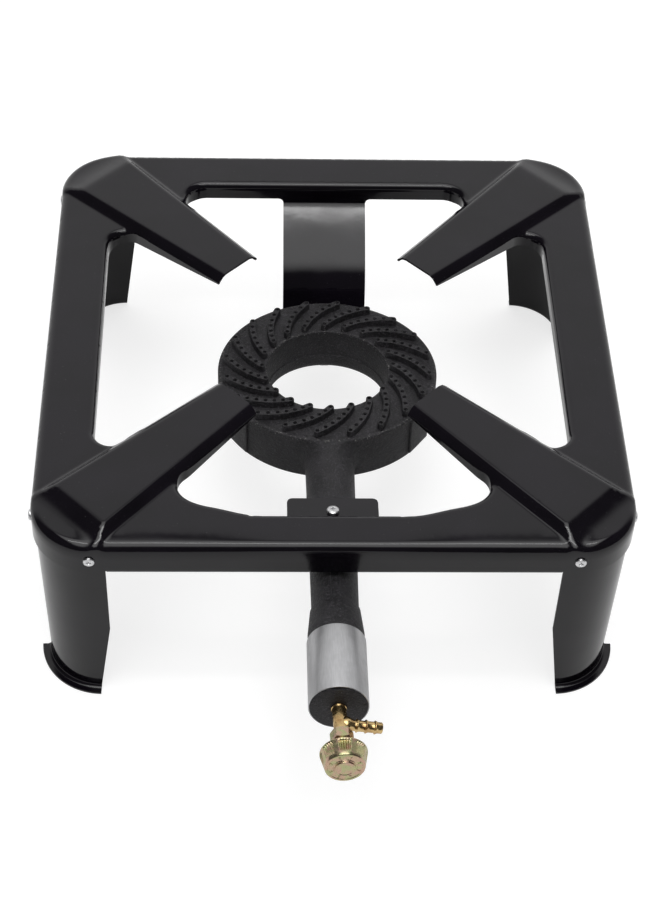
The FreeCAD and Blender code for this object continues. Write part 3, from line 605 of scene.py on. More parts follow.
def opening_outline():
    """The opening's outline, anticlockwise: points, normals into the opening, kinds and gusset reaches."""
    lines = rail_lines()
    taper = math.atan(ARM_TAPER)
    marks = []
    gussets = []
    order = ("right", "rear", "left", "front", "right")
    for corner, rails in enumerate(zip(order, order[1:])):
        out, across = corner_axes(corner)
        ends = []
        reaches = []
        for rail, sign in zip(rails, (-1, 1)):
            (point, along), radius = lines[rail], OPENING_R[rail]
            near = out * TIP_REACH + across * sign * arm_half(TIP_REACH)
            far = out * 270 + across * sign * arm_half(270)
            meet = line_meet(point, along, near, far - near)
            tangent = radius / math.tan((math.pi / 4 + taper) / 2)
            flank = (near - far) / np.linalg.norm(near - far)
            rail_dir = np.array(along, float)
            if rail_dir @ flank < 0:
                rail_dir = -rail_dir
            normal = np.array((-along[1], along[0]), float)
            if normal @ (near - meet) < 0:
                normal = -normal
            centre = meet + rail_dir * tangent + normal * radius
            ends.append((near, meet + flank * tangent, meet + rail_dir * tangent, centre, radius))
            reaches.append(float((meet + flank * tangent) @ out))
        gussets.append(min(reaches) - GUSSET_RUN)
        marks.append(ends)
    points, normals, kinds = [], [], []

    def put(point, normal, kind):
        points.append(np.array(point, float))
        normals.append(np.array(normal, float))
        kinds.append(kind)

    def arc(centre, radius, start, end):
        a0 = math.atan2(*(start - centre)[::-1])
        a1 = math.atan2(*(end - centre)[::-1])
        while a1 < a0:
            a1 += 2 * math.pi
        count = max(6, int(radius * (a1 - a0) / 1.6))
        for a in np.linspace(a0, a1, count + 1):
            direction = np.array((math.cos(a), math.sin(a)))
            put(centre + direction * radius, -direction, "rail")

    def line(start, end, step, kind, extra=()):
        length = np.linalg.norm(end - start)
        along = (end - start) / length
        normal = np.array((-along[1], along[0]))
        stops = [abs(v) for v in spaced(0, length, step, extra)]
        for stop in stops[1:-1]:
            put(start + along * stop, normal, kind)

    for corner in range(4):
        before, after = marks[corner]
        near0, flank0, rail0, centre0, radius0 = before
        near1, flank1, rail1, centre1, radius1 = after
        arc(centre0, radius0, rail0, flank0)
        line(flank0, near0, 4.0, "flank")
        flank_normal = (near0 - flank0) / np.linalg.norm(near0 - flank0)
        put(near0, (-flank_normal[1], flank_normal[0]), "tip")
        line(near0, near1, 4.0, "tip")
        flank_normal = (flank1 - near1) / np.linalg.norm(flank1 - near1)
        put(near1, (-flank_normal[1], flank_normal[0]), "flank")
        line(near1, flank1, 4.0, "flank")
        arc(centre1, radius1, flank1, rail1)
        following = marks[(corner + 1) % 4][0][2]
        extra = ()
        if corner == 0:
            extra = [abs(rail1[0] - x) for x in key_columns(TONGUE_HALF, TONGUE_CORNER_R)]
        if corner == 2:
            extra = [abs(x - rail1[0]) for x in key_columns(TAB_HALF, TAB_CORNER_R)]
        line(rail1, following, 5.0, "rail", extra)
    return *raise_front_corners(np.array(points), np.array(normals), kinds), kinds, gussets


def raise_front_corners(points, normals, kinds):
    """The front opening's lower corners, drawn up in a longer sweep than their arcs."""
    line = rail_lines()["front"][0][1]
    low, high = FRONT_RISE_RUN
    across = np.clip((np.abs(points[:, 0]) - low) / (high - low), 0, 1)
    over = np.clip((points[:, 1] - line) / FRONT_RISE_FADE, 0, 1)
    rail = np.array([kind == "rail" for kind in kinds]) & (points[:, 1] < line + FRONT_RISE_FADE)
    rise = FRONT_RISE * across ** 2 * (3 - 2 * across) * (1 - over ** 1.5) * rail
    points = points + rise[:, None] * np.array((0.0, 1.0))
    along = np.roll(points, -1, axis=0) - np.roll(points, 1, axis=0)
    along /= np.linalg.norm(along, axis=1)[:, None]
    turned = np.stack([-along[:, 1], along[:, 0]], axis=1)
    return points, np.where(rise[:, None] > 0.01, turned, normals)


def outer_outline():
    """The frame's outside, anticlockwise from the front left: points, normals and places along each side."""
    half = millimetres(sizes().side) / 2
    axis = half - CORNER_R
    points, normals, places = [], [], []
    for side in range(4):
        turn = math.radians(90 * side)
        c, s = math.cos(turn), math.sin(turn)
        local = [((u, -half), (0, -1), u) for u in spaced(-axis, axis, 5.0, (-HEM_HALF, HEM_HALF))]
        for step in range(1, 24):
            a = math.radians(-90 + 90 * step / 24)
            local.append(((axis + CORNER_R * math.cos(a), -axis + CORNER_R * math.sin(a)),
                          (math.cos(a), math.sin(a)), 999.0))
        for (x, y), (nx, ny), place in local:
            points.append((x * c - y * s, x * s + y * c))
            normals.append((nx * c - ny * s, nx * s + ny * c))
            places.append(place)
    return np.array(points), np.array(normals), places


def smooth_max(a, b, k):
    h = np.maximum(k - np.abs(a - b), 0) / k
    return np.maximum(a, b) + h * h * k / 4


def smooth_min(a, b, k):
    return -smooth_max(-a, -b, k)


def rounding(distance, radius):
    """Drop of a rounded edge at a distance in from its outside."""
    inside = np.clip(distance, 0, radius)
    return radius - np.sqrt(np.maximum(radius ** 2 - (radius - inside) ** 2, 0))


class PressedTop:
    """Height of the pressing's top at any place in plan."""

    def __init__(self):
        self.outline, self.outline_normals, self.kinds, self.gussets = opening_outline()
        self.half = millimetres(sizes().side) / 2
        self.top = millimetres(sizes().rail_top)
        self.rise = millimetres(sizes().arm_rise)
        self.edge = millimetres(sizes().edge_radius)
        self.blend = millimetres(sizes().blend)
        count = len(self.outline)
        pairs = [(i, (i + 1) % count) for i in range(count)]
        rails = [(i, j) for i, j in pairs if self.kinds[i] == "rail" and self.kinds[j] == "rail"]
        self.rail_starts = self.outline[[i for i, j in rails]]
        self.rail_ends = self.outline[[j for i, j in rails]]

    def outer_distance(self, xy):
        q = np.abs(xy) - (self.half - CORNER_R)
        outside = np.linalg.norm(np.maximum(q, 0), axis=1)
        return CORNER_R - outside - np.minimum(np.maximum(q[:, 0], q[:, 1]), 0)

    def rail_distance(self, xy):
        return segment_distance(xy, self.rail_starts, self.rail_ends)

    def dish(self, xy):
        """Fall of the front rail's top towards its edge, which fades out at the middle."""
        edge = xy[:, 1] + self.half
        fall = DISH_FALL * np.maximum(DISH_RUN - np.maximum(edge, DISH_FROM), 0) ** 2
        fall += 2 * DISH_FALL * (DISH_RUN - DISH_FROM) * np.maximum(DISH_FROM - edge, 0)
        side = np.clip((np.abs(xy[:, 0]) - 10) / 90, 0, 1) * np.clip((185 - np.abs(xy[:, 0])) / 25, 0, 1)
        return fall * side

    def height(self, xy):
        xy = np.asarray(xy, float).reshape(-1, 2)
        outer = self.outer_distance(xy)
        rail = self.top - rounding(outer, self.edge) - rounding(self.rail_distance(xy), LIP_R) - self.dish(xy)
        arm = np.full(len(xy), 0.0)
        run = (self.half - CORNER_R) * math.sqrt(2) + CORNER_R - CAP_CREASE
        for corner in range(4):
            slope = CAP_DROP[corner] / run
            out, across = corner_axes(corner)
            reach, a = xy @ out, np.abs(xy @ across)
            wall = self.top + arm_half(reach) - a
            cap = self.top + self.rise - (reach - CAP_CREASE) * slope
            one = smooth_min(smooth_min(self.top + self.rise, cap, 0.9), wall, self.blend)
            one = one - rounding(outer, CAP_EDGE_R[corner])
            one = np.where((reach > TIP_REACH - 5) & (a < arm_half(reach) + 12), one, 0.0)
            arm = np.maximum(arm, one)
            over = np.maximum(self.gussets[corner] + 2 - reach, 0)
            inside = (a < arm_half(reach) + 0.5) & (reach > 60)
            rail = np.where(inside, rail - 0.15 * over ** 2, rail)
        return smooth_max(rail, arm, self.blend)

    def normals(self, xy, step=0.04):
        xy = np.asarray(xy, float)
        dx, dy = np.array((step, 0.0)), np.array((0.0, step))
        gx = (self.height(xy + dx) - self.height(xy - dx)) / (2 * step)
        gy = (self.height(xy + dy) - self.height(xy - dy)) / (2 * step)
        n = np.stack([-gx, -gy, np.ones(len(xy))], axis=1)
        return n / np.linalg.norm(n, axis=1)[:, None]


def inside_polygon(xy, polygon):
    inside = np.zeros(len(xy), bool)
    x, y = xy[:, 0], xy[:, 1]
    count = len(polygon)
    for i in range(count):
        x0, y0 = polygon[i]
        x1, y1 = polygon[(i + 1) % count]
        if y0 == y1:
            continue
        crosses = ((y0 > y) != (y1 > y)) & (x < (x1 - x0) * (y - y0) / (y1 - y0) + x0)
        inside ^= crosses
    return inside


def top_samples(shape, outer, outer_normals):
    """Places on the top where its surface turns, and a loose grid over its flats."""
    rows = []
    for distance in (0.25, 0.8, 1.6, 2.6, 3.7, 5.0, 6.6, 8.2):
        rows.append(outer - outer_normals * distance)
    rail = np.array([kind == "rail" for kind in shape.kinds])
    for distance in (0.2, 0.65, 1.3, 2.1, 3.1, 4.1, 5.0, 6.2):
        rows.append(shape.outline[rail] - shape.outline_normals[rail] * distance)
    corner_reach = (shape.half - CORNER_R) * math.sqrt(2) + CORNER_R
    for corner in range(4):
        out, across = corner_axes(corner)
        for reach in np.arange(TIP_REACH + 0.4, corner_reach, 3.6):
            for inset in (0.7, 1.5, 2.6, 3.4, 4.1, 4.7, 5.3, 5.9, 6.6, 7.4, 8.6,
                          -0.6, -1.2, -1.9, -2.7, -4.0):
                place = arm_half(reach) - inset
                for sign in (-1, 1):
                    rows.append([out * reach + across * sign * place])
            for place in (-11.0, -5.5, 0.0, 5.5, 11.0):
                rows.append([out * reach + across * place])
        for beyond in (-2.4, -1.4, -0.7, 0.0, 0.7, 1.4, 2.4, 5.0):
            reach = CAP_CREASE + beyond
            for place in np.arange(-arm_half(reach), arm_half(reach) + 0.1, 3.0):
                rows.append([out * reach + across * place])
    grid = np.arange(-shape.half, shape.half + 1, 9.0)
    rows.append(np.stack(np.meshgrid(grid, grid), axis=-1).reshape(-1, 2) + 0.37)
    return np.vstack([np.asarray(row, float).reshape(-1, 2) for row in rows])


def segment_distance(xy, starts, ends):
    """Distance in plan from each place to the nearest of the segments."""
    best = np.full(len(xy), 1e9)
    for a, b in zip(starts, ends):
        along = b - a
        length = along @ along
        if length < 1e-12:
            continue
        t = np.clip(((xy - a) @ along) / length, 0, 1)
        best = np.minimum(best, np.linalg.norm(xy - a - t[:, None] * along, axis=1))
    return best


def thinned(xy, spacing):
    """Places with any that crowd an earlier one left out."""
    cells = {}
    kept = []
    for x, y in xy:
        key = (int(math.floor(x / spacing)), int(math.floor(y / spacing)))
        crowd = False
        for i in (-1, 0, 1):
            for j in (-1, 0, 1):
                for ox, oy in cells.get((key[0] + i, key[1] + j), ()):
                    if (ox - x) ** 2 + (oy - y) ** 2 < spacing ** 2:
                        crowd = True
        if not crowd:
            cells.setdefault(key, []).append((x, y))
            kept.append((x, y))
    return np.array(kept)


def bent_path(points, radius, step=1.2):
    """(y, z, normal y, normal z) along a bent line, the normal on its left."""
    a, corner, b = (np.array(p, float) for p in points)
    back = (a - corner) / np.linalg.norm(a - corner)
    ahead = (b - corner) / np.linalg.norm(b - corner)
    half = math.acos(np.clip(back @ ahead, -1, 1)) / 2
    tangent = radius / math.tan(half)
    centre = corner + (back + ahead) / np.linalg.norm(back + ahead) * (radius / math.sin(half))
    start, end = corner + back * tangent, corner + ahead * tangent
    rows = []

    def put(point, direction):
        rows.append((point[0], point[1], -direction[1], direction[0]))

    for t in np.linspace(0, 1, 3)[:-1]:
        put(a + (start - a) * t, -back)
    a0 = math.atan2(*(start - centre)[::-1])
    a1 = math.atan2(*(end - centre)[::-1])
    if a1 - a0 > math.pi:
        a1 -= 2 * math.pi
    if a0 - a1 > math.pi:
        a1 += 2 * math.pi
    count = max(6, int(abs(a1 - a0) * radius / step))
    sign = 1 if a1 > a0 else -1
    for angle in np.linspace(a0, a1, count + 1):
        radial = np.array((math.cos(angle), math.sin(angle)))
        put(centre + radial * radius, sign * np.array((-radial[1], radial[0])))
    for t in np.linspace(0, 1, 8)[1:]:
        put(end + (b - end) * t, ahead)
    return rows


def tongue_path():
    """(y, z, normal y, normal z) down the tongue from the rear rail, round its bend and in under the ring."""
    line = rail_lines()["rear"][0][1]
    flat = np.array(burner_point(-TONGUE_FLAT_S, tongue_depth()))
    bend = [(line, FLANGE_LOW - ROOT_R)] + list(TONGUE_LINE) + [tuple(flat)]
    for _ in range(3):
        finer = [bend[0]]
        for a, b in zip(bend, bend[1:]):
            a, b = np.array(a), np.array(b)
            finer += [tuple(a * 0.75 + b * 0.25), tuple(a * 0.25 + b * 0.75)]
        bend = finer + [bend[-1]]
    end = np.array(burner_point(-TONGUE_END_S, tongue_depth()))
    points = np.array(bend + [tuple(flat + (end - flat) * t) for t in np.linspace(0, 1, 8)[1:]])
    along = np.gradient(points, axis=0)
    along[-7:] = end - flat
    along /= np.linalg.norm(along, axis=1)[:, None]
    return [(y, z, -dz, dy) for (y, z), (dy, dz) in zip(points, along)]


def burner_point(s, depth):
    """(y, z) forward of the ring's middle by s and below its top face."""
    b = burner_sizes()
    y = millimetres(b.offset) - s * math.cos(b.tilt) - depth * math.sin(b.tilt)
    z = millimetres(b.height) + s * math.sin(b.tilt) - depth * math.cos(b.tilt)
    return y, z


def on_plane_at(y, depth):
    """Height at y of the plane that lies below the ring's top face by the depth."""
    b = burner_sizes()
    s = (millimetres(b.offset) - y - depth * math.sin(b.tilt)) / math.cos(b.tilt)
    return burner_point(s, depth)[1]


def tab_depth():
    sheet = millimetres(sizes().sheet)
    share = (TAB_END_S - TAPER_S) / (FLARE_S - TAPER_S)
    return TUBE_DEPTH - (TUBE_R + (NECK_R - TUBE_R) * share) - TAB_GAP - sheet


def tongue_depth():
    return RING_HEIGHT + TONGUE_GAP


def flange_bottom(xy):
    """Lower edge of the inner flange, which slopes up under each arm."""
    low = np.full(len(xy), FLANGE_LOW)
    for corner in range(4):
        out, across = corner_axes(corner)
        reach, a = xy @ out, np.abs(xy @ across)
        share = 1 - (reach - TIP_REACH) / (FLANGE_END_REACH - TIP_REACH)
        fade = np.clip(1 - (a - arm_half(FLANGE_END_REACH)) / FLANGE_FADE, 0, 1)
        rise = (TIP_FLANGE_LOW - FLANGE_LOW) * np.clip(share, 0, 1) * fade
        low = np.where(reach > 60, np.maximum(low, FLANGE_LOW + rise), low)
    return low


def build_pressing_mesh():
    """The whole pressed sheet: top, skirt, hem, inner flange, tab and tongue."""
    shape = PressedTop()
    outer, outer_normals, places = outer_outline()
    samples = top_samples(shape, outer, outer_normals)
    keep = shape.outer_distance(samples) > 0.15
    keep &= ~inside_polygon(samples, shape.outline)
    samples = samples[keep]
    off_edge = segment_distance(samples, shape.outline, np.roll(shape.outline, -1, axis=0)) > 0.16
    samples = samples[off_edge]
    samples = thinned(samples, 0.5)
    n_outer, n_inner = len(outer), len(shape.outline)
    plan = np.vstack([outer, shape.outline, samples])
    edges = [(i, (i + 1) % n_outer) for i in range(n_outer)]
    edges += [(n_outer + i, n_outer + (i + 1) % n_inner) for i in range(n_inner)]
    verts, _, triangles, origins, _, _ = delaunay_2d_cdt([Vector(p) for p in plan], edges, [], 0, 1e-5)
    verts = np.array([tuple(v) for v in verts])
    number = {}
    for index, sources in enumerate(origins):
        for source in sources:
            number[source] = index
    triangles = [list(t) for t in triangles if len(t) == 3]
    middles = np.array([verts[t].mean(axis=0) for t in triangles])
    good = (shape.outer_distance(middles) > 0) & ~inside_polygon(middles, shape.outline)
    sheet = Sheet()
    inset = verts.copy()
    for index in range(n_outer):
        inset[number[index]] = outer[index] - outer_normals[index] * 0.06
    for index in range(n_inner):
        if shape.kinds[index] == "rail":
            inset[number[n_outer + index]] = shape.outline[index] - shape.outline_normals[index] * 0.06
        elif shape.kinds[index] == "flank":
            inset[number[n_outer + index]] = shape.outline[index] - shape.outline_normals[index] * 0.3
    heights = shape.height(verts)
    normals = shape.normals(inset)
    for (x, y), z, normal in zip(verts, heights, normals):
        sheet.add((x, y, z), normal)
    for triangle, fine in zip(triangles, good):
        if fine:
            sheet.faces.append(triangle)

    # Skirt, hem and corner edges
    rim = [number[i] for i in range(n_outer)]
    rows = [rim]
    hem_start = HEM_LOW + HEM_R
    for share in (0.35, 0.7, 1.0):
        row = []
        for i in range(n_outer):
            top = heights[rim[i]]
            x, y = outer[i]
            row.append(sheet.add((x, y, top + (hem_start - top) * share), (*outer_normals[i], 0)))
        rows.append(row)
    for i in rim:
        level = np.array(sheet.normals[i])
        level[2] = min(level[2], 0.12)
        sheet.normals[i] = tuple(level / np.linalg.norm(level))
    loop = [row + row[:1] for row in rows]
    sheet.strip(loop)
    last = rows[-1]
    for side in range(4):
        per_side = n_outer // 4
        turn = [side * per_side + i for i in range(per_side)]
        hem = [i for i in turn if abs(places[i]) <= HEM_HALF + 1e-6]
        hem_rows = [[last[i] for i in hem]]
        for step in range(1, 9):
            a = math.pi / 2 * step / 8
            row = []
            for i in hem:
                p = outer[i] - outer_normals[i] * HEM_R * (1 - math.cos(a))
                z = hem_start - HEM_R * math.sin(a)
                row.append(sheet.add((*p, z), (*(outer_normals[i] * math.cos(a)), -math.sin(a))))
            hem_rows.append(row)
        row = []
        for i in hem:
            row.append(sheet.add((*(outer[i] - outer_normals[i] * (HEM_R + HEM_LIP)), HEM_LOW), (0, 0, -1)))
        hem_rows.append(row)
        sheet.strip(hem_rows)
        start = turn.index(hem[-1])
        corner = turn[start:] + [((side + 1) * per_side + i) % n_outer for i in range(per_side)
                                 if places[((side + 1) * per_side + i) % n_outer] <= -HEM_HALF + 1e-6]
        low = [sheet.add((*outer[i], SKIRT_LOW), (*outer_normals[i], 0)) for i in corner]
        sheet.strip([[last[i] for i in corner], low])

    # Inner flange, with the front tab and the rear tongue hanging from it
    bottoms = flange_bottom(shape.outline)
    front_y = rail_lines()["front"][0][1]
    rear_y = rail_lines()["rear"][0][1]
    hung = {"tab": [], "tongue": []}
    for i, (x, y) in enumerate(shape.outline):
        for name, line, width in (("tab", front_y, TAB_HALF), ("tongue", rear_y, TONGUE_HALF)):
            if abs(y - line) < 1e-3:
                if abs(x) <= width + 1e-6:
                    bottoms[i] = FLANGE_LOW - ROOT_R
                    hung[name].append(i)
                elif abs(x) < width + ROOT_R:
                    run = width + ROOT_R - abs(x)
                    bottoms[i] = FLANGE_LOW - (ROOT_R - math.sqrt(ROOT_R ** 2 - run ** 2))
    inner = [number[n_outer + i] for i in range(n_inner)]
    rows = [inner]
    for share in (0.12, 0.4, 0.7, 1.0):
        row = []
        for i in range(n_inner):
            top = heights[inner[i]]
            x, y = shape.outline[i]
            row.append(sheet.add((x, y, top + (bottoms[i] - top) * share), (*shape.outline_normals[i], 0)))
        rows.append(row)
    for i in range(n_inner):
        level = np.array(sheet.normals[inner[i]])
        if shape.kinds[i] == "rail":
            level[2] = min(level[2], 0.12)
        elif shape.kinds[i] == "flank":
            level = level + np.array((*shape.outline_normals[i], 0)) * 0.9
        sheet.normals[inner[i]] = tuple(level / np.linalg.norm(level))
    for i in range(n_inner):
        j = (i + 1) % n_inner
        if shape.kinds[i] == "tip":
            continue
        sheet.strip([[row[i], row[j]] for row in rows])
    tab_path = bent_path([(front_y, FLANGE_LOW - ROOT_R), (front_y, on_plane_at(front_y, tab_depth())),
                          burner_point(TAB_END_S, tab_depth())], 3.0)
    for name, path, width, corner_r, facing in (
            ("tab", tab_path, TAB_HALF, TAB_CORNER_R, 1),
            ("tongue", tongue_path(), TONGUE_HALF, TONGUE_CORNER_R, -1)):
        columns = hung[name]
        hang = [[rows[-1][i] for i in columns]]
        end = np.array(path[-1][:2])
        bend_end = np.array(path[-8][:2])
        along = (end - bend_end) / np.linalg.norm(end - bend_end)
        reach = np.linalg.norm(end - bend_end)
        for order, (y, z, ny, nz) in enumerate(path[1:], 1):
            normal = np.array((0, ny, nz))
            if (normal[1] * facing < 0 and abs(normal[1]) > 0.5) or (normal[2] < 0 and abs(normal[2]) > 0.5):
                normal = -normal
            row = []
            for i in columns:
                x = shape.outline[i][0]
                at = np.array((y, z))
                step = order - (len(path) - 8)
                if step > 0:
                    past = max(0.0, abs(x) - (width - corner_r))
                    cut = corner_r - math.sqrt(max(corner_r ** 2 - past ** 2, 0))
                    at = bend_end + along * (reach - cut) * step / 7
                row.append(sheet.add((x, at[0], at[1]), normal))
            hang.append(row)
        sheet.strip(hang)
    return sheet.solid("frame_pressing", millimetres(sizes().sheet))


# The legs

def build_leg_mesh(corner):
    sheet_mm = millimetres(sizes().sheet)
    half = millimetres(sizes().side) / 2
    radius = CORNER_R - sheet_mm - LEG_GAP
    top_axis = half - CORNER_R
    rows_z = [LEG_TOP, 130.0, 100.0, LEG_TAPER_TOP + 2, LEG_TAPER_TOP, 50.0, 34.0, 20.0, 12.0, 7.5, 5.0]
    bend = 3.0
    rows = [(z, 0.0, 0.0) for z in rows_z]
    for step in range(9):
        a = math.pi / 2 * step / 8
        rows.append((sheet_mm + bend * (1 - math.sin(a)), bend * (1 - math.cos(a)), a))
    rows.append((sheet_mm, LEG_FOOT - 0.6, math.pi / 2))
    rows.append((sheet_mm, LEG_FOOT, math.pi / 2))
    sheet = Sheet()
    grid = []
    turn = Matrix.Rotation(math.radians(90 * corner), 3, "Z")
    for z, extra, lay in rows:
        axis = top_axis - LEG_LEAN * (1 - z / LEG_TOP)
        start = LEG_OPEN + LEG_TAPER * max(0.0, 1 - z / LEG_TAPER_TOP)
        reach = radius * math.pi / 4 + axis - start
        row = []
        for s in spaced(-reach, reach, 2 * reach / 56):
            bow = radius * math.pi / 4
            s = float(s)
            a = math.pi / 4 + max(-bow, min(bow, s)) / radius
            normal = Vector((math.cos(a), math.sin(a), 0))
            point = Vector((axis, axis, z)) + normal * (radius + extra)
            if abs(s) > bow:
                point += (abs(s) - bow) * (Vector((-1, 0, 0)) if s > 0 else Vector((0, -1, 0)))
            direction = normal * math.cos(lay) + Vector((0, 0, 1)) * math.sin(lay)
            row.append(sheet.add(turn @ point, turn @ direction))
        grid.append(row)
    sheet.strip(grid)
    return sheet.solid("leg", sheet_mm)


# The burner castings

def ring_mesh():
    b = burner_sizes()
    outer, bore = millimetres(b.ring_radius), millimetres(b.bore_radius)
    foot = bore - BORE_STEP
    outline = rounded_outline([(bore, -SEAT_DEPTH, 0), (SEAT_R, -SEAT_DEPTH, 0), (SEAT_R, 0, 0.1),
                               (outer, 0, 1.5), (outer, -RING_HEIGHT, 2.6), (foot, -RING_HEIGHT, 7.0),
                               (foot, -BORE_STEP_DEPTH, 0.3), (bore, -BORE_STEP_DEPTH + 0.4, 0.3),
                               (bore, -SEAT_DEPTH - 0.1, 0)], 6)
    return lathe("ring", outline, burner_place(), 160, closed=True)


def tube_outline():
    """Mixing tube from inside the ring's wall to the end plate, with its bore."""
    flare = [(TUBE_R + JOIN_R - JOIN_R * math.sin(a), JOIN_S + JOIN_R - JOIN_R * math.cos(a))
             for a in np.radians(np.linspace(0, 90, 7))]
    barrel = rounded_outline([(TUBE_R, 90.0, 0), (NECK_R, FLARE_S, 0.7),
                              (NECK_R + FLARE_STEP, FLARE_S + FLARE_STEP, 0.9), (BARREL_R, BARREL_S, 5.0),
                              (BARREL_R, PLATE_S, 0.7), (NIPPLE_R + 0.45, PLATE_S, 0.3),
                              (NIPPLE_R + 0.45, PLATE_S - PLATE_THICK, 0),
                              (BARREL_BORE_R, PLATE_S - PLATE_THICK, 1.0), (BARREL_BORE_R, BARREL_S, 2.0),
                              (TUBE_BORE_R, BARREL_S - 8.0, 2.0), (TUBE_BORE_R, 74.0, 0)])
    return [(TUBE_R + JOIN_R, 74.0)] + flare + barrel


def tube_mesh():
    outer = millimetres(burner_sizes().ring_radius)
    points, faces = turned_skin(tube_outline(), 96, True)
    bent = []
    for x, y, s in points:
        near = 1 - min(max((s - JOIN_S) / 10.0, 0), 1)
        s -= (outer - math.sqrt(max(outer ** 2 - x ** 2, 0))) * near
        bent.append((x, min(y, TUBE_R), s))
    tube = tidy_mesh(mesh_from("tube", bent, faces, tube_place()), 1e-8)
    start, end, reach = WINDOW
    window = rounded_box("window", (-30, -reach, start), (30, reach, end), 1.5, tube_place())
    return subtract(tube, window)


def pad_meshes():
    width, thick, height = PAD_SIZE
    pads = []
    for side in (-1, 1):
        turn = burner_place() @ Matrix.Rotation(math.radians(PAD_ANGLE * side), 4, "Z")
        pads.append(rounded_box("pad", (-width / 2, -PAD_REACH, -PAD_TOP - height),
                                (width / 2, thick - PAD_REACH, -PAD_TOP), 0.9, turn))
    return pads


def rib_meshes():
    """Two faint cast lines on top of the tube's neck."""
    ribs = []
    for x in (-2.6, 2.6):
        loops = []
        for s, rise in ((203.0, -0.5), (204.5, 0.15), (207.0, 0.4), (224.0, 0.4), (227.0, 0.15),
                        (228.5, -0.5)):
            top = NECK_R + (TUBE_R - NECK_R) * (FLARE_S - s) / (FLARE_S - 80.0) - TUBE_DEPTH
            section = ((-0.8, -1.2), (-0.35, rise), (0.35, rise), (0.8, -1.2))
            loops.append([(x + a, -s, top + h) for a, h in section])
        ribs.append(loft("rib", loops, burner_place(), angle=60.0))
    return ribs


def ridge_line(share, across=0.0):
    """Point on a ridge's spiral, from its inner end at 0 to its outer end at 1, and the way it runs."""
    def spine(at):
        radius = RIDGE_INNER_R + (RIDGE_OUTER_R - RIDGE_INNER_R) * at
        angle = math.radians(RIDGE_START - RIDGE_SWEEP * at)
        return Vector((radius * math.cos(angle), radius * math.sin(angle)))
    ahead = (spine(share + 0.001) - spine(share - 0.001)).normalized()
    return spine(share) + Vector((ahead.y, -ahead.x)) * across, ahead


def ridge_outline(half):
    points = []
    for sign, shares in ((1, np.linspace(0, 1, 14)), (-1, np.linspace(1, 0, 14))):
        points += [ridge_line(float(share), sign * half)[0] for share in shares]
        end, ahead = ridge_line(float(shares[-1]))
        side = Vector((ahead.y, -ahead.x)) * sign
        for step in range(1, 8):
            a = math.pi * step / 8
            points.append(end + (side * math.cos(a) + ahead * sign * math.sin(a)) * half)
    return points


def ridge_mesh():
    """One curved ridge with round ends, drafted walls and round gas ports, in the head's own millimetres."""
    b = burner_sizes()
    half, height = millimetres(b.ridge_width) / 2, millimetres(b.ridge_height)
    port = millimetres(b.port_radius)
    loops = [[(*p, z) for p in ridge_outline(half + grow)]
             for z, grow in ((-0.4, 0.35), (0.25, 0.12), (height - 0.7, 0.0), (height - 0.2, -0.18),
                             (height, -0.55))]
    count = len(loops[0])
    points = [point for loop in loops for point in loop]
    faces = [(row * count + i, row * count + (i + 1) % count, (row + 1) * count + (i + 1) % count,
              (row + 1) * count + i) for row in range(4) for i in range(count)]
    faces.append(tuple(range(count)))
    plan = [Vector(p[:2]) for p in loops[-1]]
    edges = [(i, (i + 1) % count) for i in range(count)]
    numbers = list(range(4 * count, 5 * count))
    middles = [ridge_line(index / (b.ports - 1))[0] for index in range(b.ports)]
    sides = 14
    for middle in middles:
        start = len(plan)
        for depth, radius in ((0.0, port + 0.1), (0.12, port), (4.3, port - 0.1)):
            for step in range(sides):
                a = 2 * math.pi * step / sides
                points.append((middle.x + radius * math.cos(a), middle.y + radius * math.sin(a),
                               height - depth))
        first = len(points) - 3 * sides
        plan += [Vector(p[:2]) for p in points[first:first + sides]]
        numbers += list(range(first, first + sides))
        edges += [(start + i, start + (i + 1) % sides) for i in range(sides)]
        faces += [(first + row * sides + i, first + row * sides + (i + 1) % sides,
                   first + (row + 1) * sides + (i + 1) % sides, first + (row + 1) * sides + i)
                  for row in range(2) for i in range(sides)]
        faces.append(tuple(range(first + 2 * sides, first + 3 * sides)))
    verts, _, triangles, origins, _, _ = delaunay_2d_cdt(plan, edges, [], 0, 1e-6)
    rim = np.array([tuple(p) for p in plan[:count]])
    for triangle in triangles:
        middle = sum((verts[i] for i in triangle), Vector((0, 0))) / 3
        in_port = any((middle - other).length < (port + 0.1) * 0.98 for other in middles)
        if not in_port and inside_polygon(np.array([tuple(middle)]), rim)[0]:
            faces.append(tuple(numbers[origins[i][0]] for i in triangle))
    mesh = bpy.data.meshes.new("ridge")
    mesh.from_pydata([tuple(p) for p in points], [], faces)
    tidy_mesh(mesh, 1e-5)
    mesh.shade_smooth()
    mesh.set_sharp_from_angle(angle=math.radians(40))
    return mesh


def head_plate_mesh():
    bore = millimetres(burner_sizes().bore_radius)
    outline = rounded_outline([(bore, -HEAD_THICK, 0), (HEAD_R, -HEAD_THICK, 0), (HEAD_R, 0, 0.1),
                               (bore, 0, 1.0), (bore, -HEAD_THICK + 0.1, 0)])
    return lathe("head plate", outline, burner_place(), 160, closed=True)


# The screws

